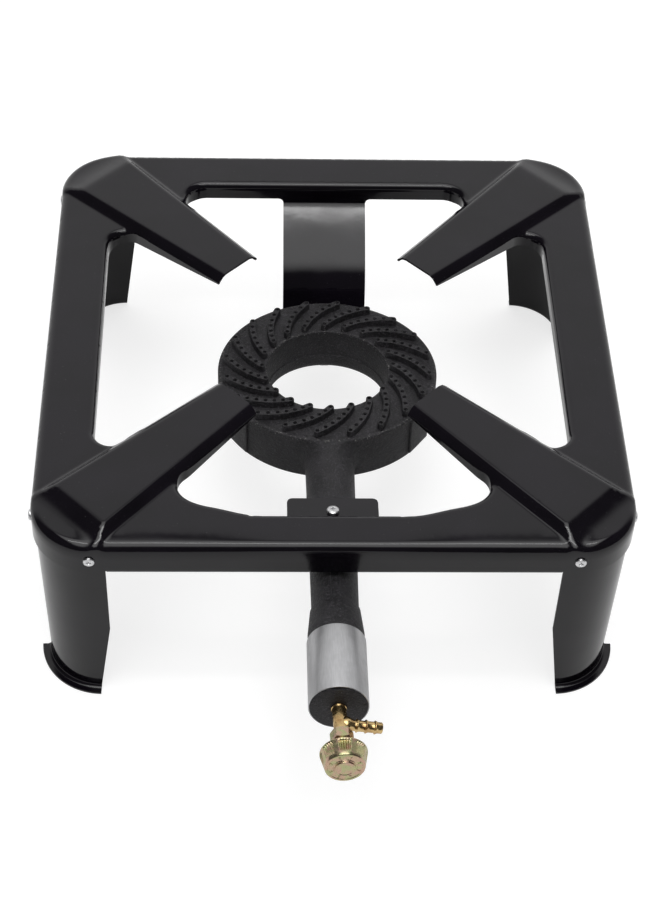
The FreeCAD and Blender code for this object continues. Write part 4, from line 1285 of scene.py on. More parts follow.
def pan_screw_mesh(head_r, head_h, shank_r, length, place=None):
    """Pan head screw with a cross recess, its head towards +Z from 0."""
    outline = rounded_outline([(0, -length, 0), (shank_r, -length, 0.5), (shank_r, 0, 0), (head_r, 0, 0.15),
                               (head_r, head_h * 0.78, head_h * 0.55), (head_r * 0.55, head_h, 2.0),
                               (0, head_h, 0)], 5)
    screw = lathe("screw", outline, place, 40)
    arm, half = head_r * 0.5, head_r * 0.125
    plus = [(half, arm), (half, half), (arm, half), (arm, -half), (half, -half), (half, -arm),
            (-half, -arm), (-half, -half), (-arm, -half), (-arm, half), (-half, half), (-half, arm)]
    loops = [[(x * k, y * k, z) for x, y in plus] for z, k in ((head_h - 1.5, 0.35), (head_h + 1.0, 1.15))]
    return subtract(screw, loft("recess", loops, place))


# The valve

def stub_mesh():
    outline = rounded_outline([(1.2, -NIPPLE_LENGTH, 0), (NIPPLE_R, -NIPPLE_LENGTH, 0.3), (NIPPLE_R, 0.1, 0),
                               (STUB_R + 0.5, 0.1, 0.2), (STUB_R + 0.5, 1.0, 0.4), (STUB_R, 1.5, 0.4),
                               (STUB_R, NECK_END_U, 0.2), (3.72, NECK_END_U, 0), (3.72, SEAL_U, 0),
                               (2.1, SEAL_U, 0), (2.1, 8.0, 0), (1.2, 8.0, 0)])
    return lathe("stub", outline, valve_place(), 64, closed=True)


def barb_mesh():
    bead_r = millimetres(valve_sizes().bead_radius)
    outline = [(1.9, 0.6), (4.4, 0.6), (4.9, 1.6), (BARB_ROOT_R, 2.8), (BARB_ROOT_R, 4.6),
               (BARB_ROOT_R - 0.25, 5.3), (BARB_STEM_R + 0.2, 7.4), (BARB_STEM_R, 8.2)]
    for bead in BARB_BEADS:
        outline += [(BARB_STEM_R - 0.05, bead - 0.9), (BARB_STEM_R + 0.1, bead - 0.65),
                    (bead_r - 0.08, bead - 0.3), (bead_r, bead), (bead_r - 0.1, bead + 0.35),
                    (BARB_STEM_R + 0.2, bead + 1.1), (BARB_STEM_R, bead + 1.9)]
    outline += [(BARB_STEM_R, BARB_LENGTH - 0.5), (BARB_STEM_R - 0.25, BARB_LENGTH - 0.1),
                (BARB_STEM_R - 0.5, BARB_LENGTH), (2.3, BARB_LENGTH), (1.9, BARB_LENGTH - 0.5)]
    return lathe("barb", outline, barb_place(), 56, closed=True)


def gland_nut_mesh():
    """Hexagon nut with chamfered ends, a low collar and a hole for the spindle."""
    half = millimetres(valve_sizes().nut_flats) / 2
    low, high = GLAND_U
    angles = [2 * math.pi * i / 72 for i in range(72)]

    def ring(reach):
        return [(reach(a) * math.cos(a), reach(a) * math.sin(a)) for a in angles]

    def hexagon(a):
        off = (a - math.pi / 2 + math.pi / 6) % (math.pi / 3) - math.pi / 6
        return half / math.cos(off) - 0.12 * max(0.0, abs(off) / (math.pi / 6) - 0.9) * 10

    def level(points, z, sign):
        return [(x, y, z + sign * (0.15 + 0.5 * (math.hypot(x, y) - half))) for x, y in points]

    flat_ring = ring(lambda a: half - 0.35)
    loops = [[(x, y, low) for x, y in ring(lambda a: 2.3)], [(x, y, low) for x, y in flat_ring],
             level(ring(hexagon), low, 1), level(ring(hexagon), high, -1),
             [(x, y, high) for x, y in flat_ring], [(x, y, high) for x, y in ring(lambda a: 5.5)],
             [(x, y, high + 0.45) for x, y in ring(lambda a: 5.4)],
             [(x, y, high + 0.65) for x, y in ring(lambda a: 5.1)],
             [(x, y, high + 0.65) for x, y in ring(lambda a: 2.3)]]
    return loft("gland nut", loops, valve_place(), closed=True, angle=25.0)


def flute_depth(angle):
    """Share of a flute's depth at an angle round the knob: eight groups of five."""
    degrees = math.degrees(angle) % FLUTE_GROUP
    if degrees > FLUTE_GROUP / 2:
        degrees -= FLUTE_GROUP
    nearest = min(max(round(degrees / FLUTE_PITCH), -2), 2) * FLUTE_PITCH
    return max(0.0, 1 - ((degrees - nearest) / FLUTE_HALF) ** 2)


def knob_mesh():
    v = valve_sizes()
    back, front = millimetres(v.knob_radius), millimetres(v.knob_front_radius)
    face = KNOB_U + millimetres(v.knob_length)
    boss = face + BOSS_HEIGHT

    def side(u):
        return back - (back - front) * (u - KNOB_U) / (face - KNOB_U)

    profile = [(0.0, HUB_U, 0)]
    behind = [(HUB_R - 0.5, HUB_U, 0), (HUB_R, HUB_U + 0.5, 0.4), (HUB_R, face - 3.0, 0.8),
              (back - 4.7, face - 3.0, 1.0), (back - 2.4, KNOB_U + 0.3, 0.3), (back - 0.7, KNOB_U, 0.2),
              (back - 0.1, KNOB_U + 0.2, 0)]
    profile += [(r, u, 0) for r, u in rounded_outline(behind, 3)]
    for u, cut in ((0.5, 0), (0.9, 0), (1.2, 0.15), (1.6, 0.7), (2.1, 1), (4.0, 1), (5.5, 1), (7.4, 1),
                   (8.2, 0.8), (8.7, 0.4), (9.1, 0.1), (9.5, 0)):
        profile.append((side(KNOB_U + u), KNOB_U + u, cut))
    ahead = [(side(face - 2.3), face - 2.3, 0), (side(face), face, 2.2), (10.9, face, 0.2),
             (10.6, face - 0.35, 0.2), (7.5, face - 0.35, 0.2), (7.2, face + 0.1, 0.2),
             (HUB_R + 0.1, face + 0.1, 0.15), (HUB_R - 0.1, boss - 0.1, 0.5), (5.6, boss, 0.3),
             (5.2, boss - 0.35, 0.4), (2.5, boss - 0.2, 3.0), (0, boss - 0.12, 0)]
    profile += [(r, u, 0) for r, u in rounded_outline(ahead)]
    points, faces = turned_skin([(r, u) for r, u, cut in profile], 480, False)
    cuts = {}
    for r, u, cut in profile:
        cuts[(round(u, 5), round(r, 5))] = cut
    shaped = []
    for x, y, u in points:
        cut = cuts.get((round(u, 5), round(math.hypot(x, y), 5)), 0)
        share = 1 - FLUTE_DEPTH * cut * flute_depth(math.atan2(x, y)) / back if cut else 1.0
        shaped.append((x * share, y * share, u))
    return tidy_mesh(mesh_from("knob", shaped, faces, valve_place(), 50.0), 1e-8)


def dial_numbers():
    """Plain raised numbers round the knob's face."""
    face = KNOB_U + millimetres(valve_sizes().knob_length)
    numbers = []
    for number in range(1, 9):
        text = bpy.data.curves.new("number", "FONT")
        text.body = str(number)
        text.size = DIAL_SIZE
        text.extrude = 0.18
        text.bevel_depth = 0.06
        text.resolution_u = 2
        text.align_x, text.align_y = "CENTER", "CENTER"
        thing = bpy.data.objects.new("number", text)
        bpy.context.scene.collection.objects.link(thing)
        depsgraph = bpy.context.evaluated_depsgraph_get()
        mesh = bpy.data.meshes.new_from_object(thing.evaluated_get(depsgraph), depsgraph=depsgraph)
        bpy.data.objects.remove(thing)
        bpy.data.curves.remove(text)
        turn = Matrix.Rotation(-2 * math.pi * (number - 0.5) / 8, 4, "Z")
        place = valve_place() @ turn @ Matrix.Translation((0, DIAL_R, face - 0.33))
        numbers.append(tidy_mesh(seated(mesh, place), 1e-8))
    return numbers


# Geometry Nodes trees for what repeats

def new_tree(name, inputs):
    tree = bpy.data.node_groups.new(name, "GeometryNodeTree")
    tree.interface.new_socket(name="Geometry", in_out="INPUT", socket_type="NodeSocketGeometry")
    for socket, kind in inputs:
        tree.interface.new_socket(name=socket, in_out="INPUT", socket_type="NodeSocket" + kind)
    tree.interface.new_socket(name="Geometry", in_out="OUTPUT", socket_type="NodeSocketGeometry")
    source = tree.nodes.new("NodeGroupInput")
    target = tree.nodes.new("NodeGroupOutput")
    return tree, source, target


def fed(tree, node, values):
    """The node's first output, with numbers set on its inputs and other values linked to them."""
    for socket, value in zip(node.inputs, values):
        if isinstance(value, (int, float)):
            socket.default_value = value
        else:
            tree.links.new(value, socket)
    return node.outputs[0]


def math_node(tree, operation, *values):
    node = tree.nodes.new("ShaderNodeMath")
    node.operation = operation
    return fed(tree, node, values)


def join_xyz(tree, *values):
    return fed(tree, tree.nodes.new("ShaderNodeCombineXYZ"), values)


def copies_at(tree, source, target, count, position, turn):
    """Ends a tree: copies of the Piece input on points, made real and given the Material input."""
    points = tree.nodes.new("GeometryNodePoints")
    tree.links.new(count, points.inputs["Count"])
    tree.links.new(position, points.inputs["Position"])
    info = tree.nodes.new("GeometryNodeObjectInfo")
    tree.links.new(source.outputs["Piece"], info.inputs["Object"])
    euler = tree.nodes.new("FunctionNodeEulerToRotation")
    tree.links.new(turn, euler.inputs[0])
    copies = tree.nodes.new("GeometryNodeInstanceOnPoints")
    tree.links.new(points.outputs[0], copies.inputs["Points"])
    tree.links.new(info.outputs["Geometry"], copies.inputs["Instance"])
    tree.links.new(euler.outputs[0], copies.inputs["Rotation"])
    real = tree.nodes.new("GeometryNodeRealizeInstances")
    tree.links.new(copies.outputs[0], real.inputs[0])
    coat = tree.nodes.new("GeometryNodeSetMaterial")
    tree.links.new(real.outputs[0], coat.inputs["Geometry"])
    tree.links.new(source.outputs["Material"], coat.inputs["Material"])
    tree.links.new(coat.outputs[0], target.inputs[0])
    return tree


def round_axis_tree():
    """Copies turned evenly about the upright axis."""
    tree, source, target = new_tree("Copies round an axis", [("Piece", "Object"), ("Count", "Int"),
                                                             ("Radius", "Float"), ("Height", "Float"),
                                                             ("Start", "Float"), ("Material", "Material")])
    index = tree.nodes.new("GeometryNodeInputIndex").outputs[0]
    step = math_node(tree, "DIVIDE", 2 * math.pi, source.outputs["Count"])
    angle = math_node(tree, "ADD", math_node(tree, "MULTIPLY", index, step), source.outputs["Start"])
    x = math_node(tree, "MULTIPLY", math_node(tree, "COSINE", angle), source.outputs["Radius"])
    y = math_node(tree, "MULTIPLY", math_node(tree, "SINE", angle), source.outputs["Radius"])
    position = join_xyz(tree, x, y, source.outputs["Height"])
    return copies_at(tree, source, target, source.outputs["Count"], position, join_xyz(tree, 0.0, 0.0, angle))


def four_sides_tree():
    """Two copies on each of the frame's four sides, at the same inset from both corners."""
    tree, source, target = new_tree("Copies on four sides", [("Piece", "Object"), ("Half side", "Float"),
                                                             ("Inset", "Float"), ("Height", "Float"),
                                                             ("Depth", "Float"), ("Material", "Material")])
    count = tree.nodes.new("FunctionNodeInputInt")
    count.integer = 8
    index = tree.nodes.new("GeometryNodeInputIndex").outputs[0]
    side = math_node(tree, "FLOOR", math_node(tree, "DIVIDE", index, 2.0))
    angle = math_node(tree, "MULTIPLY", side, math.pi / 2)
    second = math_node(tree, "MODULO", index, 2.0)
    sign = math_node(tree, "SUBTRACT", math_node(tree, "MULTIPLY", second, 2.0), 1.0)
    x = math_node(tree, "MULTIPLY", sign, math_node(tree, "SUBTRACT", source.outputs["Half side"],
                                                    source.outputs["Inset"]))
    y = math_node(tree, "MULTIPLY", math_node(tree, "SUBTRACT", source.outputs["Half side"],
                                              source.outputs["Depth"]), -1.0)
    turn = tree.nodes.new("ShaderNodeVectorRotate")
    turn.rotation_type = "Z_AXIS"
    tree.links.new(join_xyz(tree, x, y, source.outputs["Height"]), turn.inputs["Vector"])
    tree.links.new(angle, turn.inputs["Angle"])
    euler = join_xyz(tree, 0.0, 0.0, angle)
    return copies_at(tree, source, target, count.outputs[0], turn.outputs[0], euler)


def run_tree(tree, piece, material, **values):
    """The tree's result as a plain mesh. The piece's mesh is used up."""
    if not piece.materials:
        piece.materials.append(material)
    carrier = bpy.data.objects.new("carrier", bpy.data.meshes.new("carrier"))
    single = bpy.data.objects.new("single", piece)
    for thing in (carrier, single):
        bpy.context.scene.collection.objects.link(thing)
    modifier = carrier.modifiers.new("copies", "NODES")
    modifier.node_group = tree
    settings = {"Piece": single, "Material": material}
    settings.update({name.replace("_", " "): value for name, value in values.items()})
    for item in tree.interface.items_tree:
        if item.in_out == "INPUT" and item.name in settings:
            modifier[item.identifier] = settings[item.name]
    carrier.update_tag()
    depsgraph = bpy.context.evaluated_depsgraph_get()
    mesh = bpy.data.meshes.new_from_object(carrier.evaluated_get(depsgraph), depsgraph=depsgraph)
    carrier.modifiers.remove(modifier)
    for thing in (carrier, single):
        old = thing.data
        bpy.data.objects.remove(thing)
        bpy.data.meshes.remove(old)
    return mesh


# Finishes

class Finish:
    """Small helper that lays out a material's nodes on Object coordinates."""

    def __init__(self, name):
        self.material = bpy.data.materials.new(name)
        self.material.use_nodes = True
        self.tree = self.material.node_tree
        self.shader = self.tree.nodes["Principled BSDF"]
        self.coordinates = self.tree.nodes.new("ShaderNodeTexCoord").outputs["Object"]
        self.normal = None

    def set(self, **values):
        for name, value in values.items():
            self.shader.inputs[name.replace("_", " ")].default_value = value

    def stretched(self, scale, rotation=(0, 0, 0)):
        node = self.tree.nodes.new("ShaderNodeMapping")
        self.tree.links.new(self.coordinates, node.inputs["Vector"])
        node.inputs["Scale"].default_value = scale
        node.inputs["Rotation"].default_value = rotation
        return node.outputs[0]

    def noise(self, scale, detail=2.0, roughness=0.5, vector=None, distortion=0.0):
        node = self.tree.nodes.new("ShaderNodeTexNoise")
        self.tree.links.new(vector or self.coordinates, node.inputs["Vector"])
        node.inputs["Scale"].default_value = scale
        node.inputs["Detail"].default_value = detail
        node.inputs["Roughness"].default_value = roughness
        node.inputs["Distortion"].default_value = distortion
        return node.outputs["Fac"]

    def ramp(self, value, low, high, start=0.0, end=1.0):
        node = self.tree.nodes.new("ShaderNodeMapRange")
        node.interpolation_type = "SMOOTHSTEP"
        self.tree.links.new(value, node.inputs["Value"])
        node.inputs["From Min"].default_value = low
        node.inputs["From Max"].default_value = high
        node.inputs["To Min"].default_value = start
        node.inputs["To Max"].default_value = end
        return node.outputs["Result"]

    def mix(self, factor, a, b):
        node = self.tree.nodes.new("ShaderNodeMix")
        node.data_type = "RGBA"
        self.tree.links.new(factor, node.inputs[0])
        for socket, value in ((node.inputs[6], a), (node.inputs[7], b)):
            if isinstance(value, (tuple, list)) or hasattr(value, "r"):
                socket.default_value = (*value[:3], 1.0)
            else:
                self.tree.links.new(value, socket)
        return node.outputs[2]

    def math(self, operation, *values):
        return math_node(self.tree, operation, *values)

    def laid_on(self, place):
        """Coordinates from a place's own origin and axes, in metres."""
        turn = place.to_3x3().inverted()
        origin = stand_middle + place.translation * MM
        node = self.tree.nodes.new("ShaderNodeMapping")
        self.tree.links.new(self.coordinates, node.inputs["Vector"])
        node.inputs["Rotation"].default_value = turn.to_euler()
        node.inputs["Location"].default_value = -(turn @ origin)
        return node.outputs[0]

    def split(self, vector):
        node = self.tree.nodes.new("ShaderNodeSeparateXYZ")
        self.tree.links.new(vector, node.inputs[0])
        return node.outputs

    def distance_from_axis(self, vector):
        x, y, _ = self.split(vector)
        return self.math("SQRT", self.math("ADD", self.math("MULTIPLY", x, x), self.math("MULTIPLY", y, y)))

    def height_over(self, vector):
        return self.split(vector)[2]

    def band(self, value, middle, half):
        """1 within a narrow band of a value, falling to 0 at twice its half width."""
        away = self.math("ABSOLUTE", self.math("SUBTRACT", value, middle))
        return self.ramp(away, half, 2 * half, 1.0, 0.0)

    def bump(self, height, strength, distance):
        node = self.tree.nodes.new("ShaderNodeBump")
        node.inputs["Strength"].default_value = strength
        node.inputs["Distance"].default_value = distance
        self.tree.links.new(height, node.inputs["Height"])
        if self.normal is not None:
            self.tree.links.new(self.normal, node.inputs["Normal"])
        self.normal = node.outputs[0]

    def done(self, colour=None, roughness=None):
        if colour is not None:
            self.tree.links.new(colour, self.shader.inputs["Base Color"])
        if roughness is not None:
            self.tree.links.new(roughness, self.shader.inputs["Roughness"])
        if self.normal is not None:
            self.tree.links.new(self.normal, self.shader.inputs["Normal"])
        return self.material


def tint(colour, factor):
    return tuple(min(1.0, max(0.0, c * factor)) for c in colour)


def pale_floor():
    """White to the camera and in reflections, with a part of its light from the lamps, so shadows show."""
    look = Finish("Pale floor")
    tree = look.tree
    look.set(Roughness=0.9)
    colour = look.mix(look.ramp(look.noise(3.0), 0.3, 0.7), (0.50, 0.50, 0.50), (0.52, 0.52, 0.52))
    look.done(colour)
    path = tree.nodes.new("ShaderNodeLightPath")
    soft = tree.nodes.new("ShaderNodeBsdfDiffuse")
    tree.links.new(look.mix(path.outputs["Is Camera Ray"], (0.66, 0.66, 0.66), (0.36, 0.36, 0.36)),
                   soft.inputs["Color"])
    glow = tree.nodes.new("ShaderNodeEmission")
    glow.inputs["Color"].default_value = (1.0, 1.0, 1.0, 1.0)
    tree.links.new(look.ramp(path.outputs["Is Camera Ray"], 0.0, 1.0, 0.25, 0.74), glow.inputs["Strength"])
    both = tree.nodes.new("ShaderNodeAddShader")
    tree.links.new(soft.outputs[0], both.inputs[0])
    tree.links.new(glow.outputs[0], both.inputs[1])
    seen = look.math("MAXIMUM", path.outputs["Is Camera Ray"],
                     look.math("MAXIMUM", path.outputs["Is Glossy Ray"], path.outputs["Is Transmission Ray"]))
    choice = tree.nodes.new("ShaderNodeMixShader")
    tree.links.new(seen, choice.inputs[0])
    tree.links.new(look.shader.outputs[0], choice.inputs[1])
    tree.links.new(both.outputs[0], choice.inputs[2])
    tree.links.new(choice.outputs[0], tree.nodes["Material Output"].inputs["Surface"])
    return look.material


def gloss_paint():
    look = Finish("Gloss black paint")
    base = tuple(finishes().paint)
    look.set(IOR=1.5, Metallic=0.0, Specular_IOR_Level=0.35)
    clouds = look.noise(24.0, 3.0)
    specks = look.ramp(look.noise(900.0, 1.0), 0.74, 0.80)
    colour = look.mix(look.ramp(clouds, 0.3, 0.7), tint(base, 0.75), tint(base, 1.25))
    colour = look.mix(specks, colour, (0.03, 0.03, 0.032))
    rough = look.ramp(look.noise(40.0, 3.0), 0.3, 0.7, 0.09, 0.15)
    look.bump(look.noise(160.0, 2.0), 0.06, 0.0004)
    look.bump(look.noise(30.0, 1.0), 0.10, 0.003)
    return look.done(colour, rough)


def cast_iron():
    """Rough blacked iron with painted glints over it, and dust together with painted highlights along the ring's
    rims.
    """
    look = Finish("Blacked cast iron")
    base = tuple(finishes().iron)
    look.set(IOR=1.5, Specular_IOR_Level=0.35)
    grain = look.noise(760.0, 3.0, 0.7)
    coarse = look.noise(330.0, 2.0)
    patches = look.noise(60.0, 3.0)
    colour = look.mix(look.ramp(patches, 0.3, 0.7), tint(base, 0.6), tint(base, 1.4))
    colour = look.mix(look.ramp(grain, 0.30, 0.48, 1.0, 0.0), colour, tint(base, 0.12))
    colour = look.mix(look.ramp(grain, 0.52, 0.66), colour, tint(base, 4.0))
    glints = look.ramp(look.noise(1500.0, 1.0), 0.70, 0.75)
    colour = look.mix(glints, colour, (0.10, 0.10, 0.105))
    around = look.laid_on(burner_place())
    reach = look.distance_from_axis(around)
    bore, rim = burner_sizes().bore_radius, burner_sizes().ring_radius
    # Bands at the bore's and the rim's top edges, where dust is painted together with a painted highlight
    rim_dust_and_glint_band = look.math("MAXIMUM", look.band(reach, bore + 0.0004, 0.0009),
                     look.band(reach, rim - 0.0008, 0.0010))
    top = look.ramp(look.height_over(around), -0.0030, -0.0010)
    dust_and_painted_glint = look.ramp(look.noise(700.0, 3.0, 0.7), 0.57, 0.68)
    dust_and_painted_glint = look.math("MULTIPLY", dust_and_painted_glint, look.math("MULTIPLY", rim_dust_and_glint_band, top))
    # Pale rim colour: partly dust, partly a painted highlight along the edges
    colour = look.mix(dust_and_painted_glint, colour, (0.17, 0.165, 0.16))
    rough = look.ramp(grain, 0.3, 0.7, 0.42, 0.70)
    look.bump(grain, 0.85, 0.0008)
    look.bump(coarse, 0.45, 0.0012)
    return look.done(colour, rough)


def galvanised():
    look = Finish("Galvanised sleeve")
    base = tuple(finishes().sleeve)
    look.set(Metallic=1.0)
    b = burner_sizes()
    along = look.stretched((1.0, 0.012, 1.0), (b.tilt, 0, 0))
    lines = look.noise(1300.0, 3.0, 0.6, along)
    spangle = look.noise(120.0, 2.0)
    colour = look.mix(look.ramp(lines, 0.3, 0.7), tint(base, 0.93), tint(base, 1.06))
    colour = look.mix(look.ramp(spangle, 0.50, 0.75, 0.0, 0.5), colour, tint(base, 0.84))
    rough = look.ramp(look.noise(300.0, 2.0), 0.3, 0.7, 0.37, 0.44)
    look.bump(lines, 0.02, 0.0003)
    return look.done(colour, rough)


def brass():
    look = Finish("Brass")
    base = tuple(finishes().brass)
    look.set(Metallic=1.0)
    tarnish = look.noise(180.0, 3.0)
    colour = look.mix(look.ramp(tarnish, 0.35, 0.75), base, (base[0] * 0.62, base[1] * 0.5, base[2] * 0.45))
    rough = look.ramp(look.noise(500.0, 2.0), 0.3, 0.7, 0.16, 0.28)
    look.bump(look.noise(700.0, 2.0), 0.12, 0.0003)
    return look.done(colour, rough)


def yellow_plating():
    look = Finish("Yellow plating")
    base = tuple(finishes().plating)
    look.set(Metallic=1.0)
    pink = (base[0] * 1.02, base[1] * 0.82, base[2] * 1.08)
    green = (base[0] * 0.82, base[1] * 0.98, base[2] * 0.92)
    hue = look.ramp(look.noise(210.0, 2.0, 0.5, None, 0.6), 0.38, 0.62)
    colour = look.mix(hue, pink, green)
    colour = look.mix(look.ramp(look.noise(95.0, 2.0), 0.45, 0.7, 0.0, 0.6), colour, base)
    rough = look.ramp(look.noise(600.0, 2.0), 0.3, 0.7, 0.20, 0.32)
    look.bump(look.noise(900.0, 2.0), 0.12, 0.0003)
    return look.done(colour, rough)


def bright_zinc():
    look = Finish("Bright plated screws")
    base = tuple(finishes().zinc)
    look.set(Metallic=1.0)
    colour = look.mix(look.ramp(look.noise(700.0, 2.0), 0.35, 0.7), tint(base, 0.8), tint(base, 1.1))
    rough = look.ramp(look.noise(900.0, 2.0), 0.3, 0.7, 0.24, 0.4)
    look.bump(look.noise(1200.0, 2.0), 0.1, 0.0002)
    return look.done(colour, rough)


def black_rubber():
    look = Finish("Seal rubber")
    colour = look.mix(look.ramp(look.noise(400.0), 0.3, 0.7), (0.012, 0.012, 0.012), (0.02, 0.02, 0.02))
    look.set(Roughness=0.7)
    look.bump(look.noise(1500.0), 0.1, 0.0002)
    return look.done(colour)


MAKERS = {"gloss_black_paint": gloss_paint, "cast_iron": cast_iron, "galvanised_sleeve": galvanised,
          "brass": brass, "yellow_plated": yellow_plating, "zinc_screws": bright_zinc,
          "seal_rubber": black_rubber, "spindle_steel": bright_zinc}
_made = {}


def finish(slot):
    if slot not in _made:
        _made[slot] = MAKERS[slot]()
    return _made[slot]


# Operators

class BuildStage(bpy.types.Operator):
    """Floor, surroundings, lamps and the camera"""
    bl_idname = "burner_stand.build_stage"
    bl_label = "Stage"

    def execute(self, context):
        mesh = bpy.data.meshes.new("floor")
        reach = 60.0
        mesh.from_pydata([(-reach, -reach, 0), (reach, -reach, 0), (reach, reach, 0), (-reach, reach, 0)], [],
                         [(0, 1, 2, 3)])
        floor = bpy.data.objects.new("floor", mesh)
        floor.location.z = -0.0002
        context.scene.collection.objects.link(floor)
        mesh.materials.append(pale_floor())
        context.scene.view_settings.view_transform = "Standard"
        self.surroundings(context)
        self.lamps(context)
        self.camera(context)
        return {"FINISHED"}

    def surroundings(self, context):
        """White backdrop behind the stand and a soft light overhead, with a dim ceiling and dim sides."""
        world = bpy.data.worlds.new("Room")
        context.scene.world = world
        world.use_nodes = True
        tree = world.node_tree
        background = tree.nodes["Background"]
        split = tree.nodes.new("ShaderNodeSeparateXYZ")
        tree.links.new(tree.nodes.new("ShaderNodeTexCoord").outputs["Generated"], split.inputs[0])

        def ramp(value, low, high, start, end):
            node = tree.nodes.new("ShaderNodeMapRange")
            node.interpolation_type = "SMOOTHSTEP"
            tree.links.new(value, node.inputs["Value"])
            for name, number in (("From Min", low), ("From Max", high), ("To Min", start), ("To Max", end)):
                node.inputs[name].default_value = number
            return node.outputs["Result"]

        low_part = ramp(split.outputs["Z"], math.sin(math.radians(BACKDROP_TOP - 4)),
                        math.sin(math.radians(BACKDROP_TOP + 3)), 1.0, 0.0)
        behind = ramp(split.outputs["Y"], 0.28, 0.58, SIDE_LEVEL, BACKDROP_LEVEL)
        level = math_node(tree, "ADD", math_node(tree, "MULTIPLY", low_part, behind), CEILING_LEVEL)
        up = math_node(tree, "MAXIMUM", split.outputs["Z"], 0.02)
        parts = []
        for axis, middle, half, soft in (("Y", OVERHEAD_MIDDLE, OVERHEAD_HALF[1], OVERHEAD_SOFT[1]),
                                         ("X", 0.0, OVERHEAD_HALF[0], OVERHEAD_SOFT[0])):
            off = math_node(tree, "ABSOLUTE", math_node(tree, "SUBTRACT", math_node(
                tree, "DIVIDE", split.outputs[axis], up), middle))
            parts.append(ramp(off, half - soft / 2, half + soft / 2, 1.0, 0.0))
        overhead = math_node(tree, "MULTIPLY", math_node(tree, "MULTIPLY", *parts), OVERHEAD_LEVEL)
        level = math_node(tree, "ADD", level, overhead)
        tree.links.new(level, background.inputs["Color"])
        background.inputs["Strength"].default_value = 1.0

    def lamps(self, context):
        def softbox(name, place, size, power, seen=True):
            lamp = bpy.data.lights.new(name, "AREA")
            lamp.shape = "RECTANGLE"
            lamp.size, lamp.size_y = size
            lamp.energy = power
            thing = bpy.data.objects.new(name, lamp)
            thing.location = stand_middle + Vector(place)
            thing.rotation_euler = (Vector((0, 0, 0.1)) - Vector(place)).to_track_quat("-Z", "Y").to_euler()
            thing.visible_glossy = seen
            context.scene.collection.objects.link(thing)

        softbox("bright strip", STRIP_PLACE, STRIP_SIZE, STRIP_POWER)
        softbox("left fill", (-1.3, -0.9, 2.0), FILL_SIZE, FILL_POWER, False)
        softbox("right fill", (1.3, 0.6, 2.2), FILL_SIZE, FILL_POWER, False)

    def camera(self, context):
        yaw, elevation, roll = (math.radians(v) for v in CAMERA_TURNS)
        look = Vector((math.sin(yaw) * math.cos(elevation), math.cos(yaw) * math.cos(elevation),
                       -math.sin(elevation)))
        right = Vector((math.cos(yaw), -math.sin(yaw), 0))
        above = right.cross(look)
        right, above = (right * math.cos(roll) + above * math.sin(roll),
                        above * math.cos(roll) - right * math.sin(roll))
        camera = bpy.data.cameras.new("camera")
        camera.sensor_width = SENSOR
        camera.lens = CAMERA_FOCAL_PX * SENSOR / PICTURE_HEIGHT_PX
        thing = bpy.data.objects.new("camera", camera)
        turn = Matrix((right, above, -look)).transposed().to_4x4()
        thing.matrix_world = Matrix.Translation(stand_middle + Vector(CAMERA_PLACE)) @ turn
        context.scene.collection.objects.link(thing)
        context.scene.camera = thing


class BuildPressing(bpy.types.Operator):
    """Frame pressed from one sheet, with its rails, arms, hem, tab and tongue"""
    bl_idname = "burner_stand.build_pressing"
    bl_label = "Frame pressing"

    def execute(self, context):
        seat_piece("frame_pressing", build_pressing_mesh(), "stand", "gloss_black_paint", ["top_frame"])
        return {"FINISHED"}


class BuildLegs(bpy.types.Operator):
    """Corner legs of bent sheet"""
    bl_idname = "burner_stand.build_legs"
    bl_label = "Legs"

    def execute(self, context):
        for corner, name in enumerate(("rear_right", "rear_left", "front_left", "front_right")):
            seat_piece("bent_leg_" + name, build_leg_mesh(corner), "stand", "gloss_black_paint", ["leg_" + name])
        return {"FINISHED"}


class BuildBurnerCasting(bpy.types.Operator):
    """Burner ring and mixing tube in one casting, with its pads and air windows"""
    bl_idname = "burner_stand.build_burner_casting"
    bl_label = "Burner casting"

    def execute(self, context):
        meshes = [ring_mesh(), tube_mesh()] + pad_meshes() + rib_meshes()
        piece_from("burner_casting", meshes, "stand", "cast_iron", ["burner_body"])
        return {"FINISHED"}


class BuildBurnerHead(bpy.types.Operator):
    """Ported head plate with its ring of curved ridges"""
    bl_idname = "burner_stand.build_burner_head"
    bl_label = "Burner head"

    def execute(self, context):
        ridges = run_tree(round_axis_tree(), ridge_mesh(), finish("cast_iron"), Count=burner_sizes().ridges,
                          Radius=0.0, Height=0.0, Start=0.0)
        if len(ridges.polygons) < 1000:
            raise RuntimeError("The head's ridges weren't made")
        piece_from("burner_head_cast", [head_plate_mesh(), seated(ridges, burner_place())], "stand",
                   "cast_iron", ["burner_head"], angle=None)
        return {"FINISHED"}


class BuildScrews(bpy.types.Operator):
    """Leg screws round the skirt, and the tab's screw"""
    bl_idname = "burner_stand.build_screws"
    bl_label = "Screws"

    def execute(self, context):
        s = sizes()
        facing = Matrix.Rotation(math.pi / 2, 4, "X")
        single = pan_screw_mesh(*LEG_SCREW)
        single.transform(Matrix.Translation(-stand_middle))
        single.transform(facing)
        screws = run_tree(four_sides_tree(), single, finish("zinc_screws"), Half_side=s.side / 2,
                          Inset=s.screw_inset, Height=s.screw_height, Depth=0.0)
        if len(screws.polygons) < 800:
            raise RuntimeError("The leg screws weren't made")
        screws.transform(Matrix.Translation(stand_middle))
        piece_from("leg_screw_set", [screws], "stand", "zinc_screws", ["leg_screws"])
        place = burner_place() @ Matrix.Translation((0, -TAB_SCREW_S, -tab_depth()))
        piece_from("tab_pan_screw", [pan_screw_mesh(*TAB_SCREW, place)], "stand", "zinc_screws", ["tab_screw"])
        return {"FINISHED"}


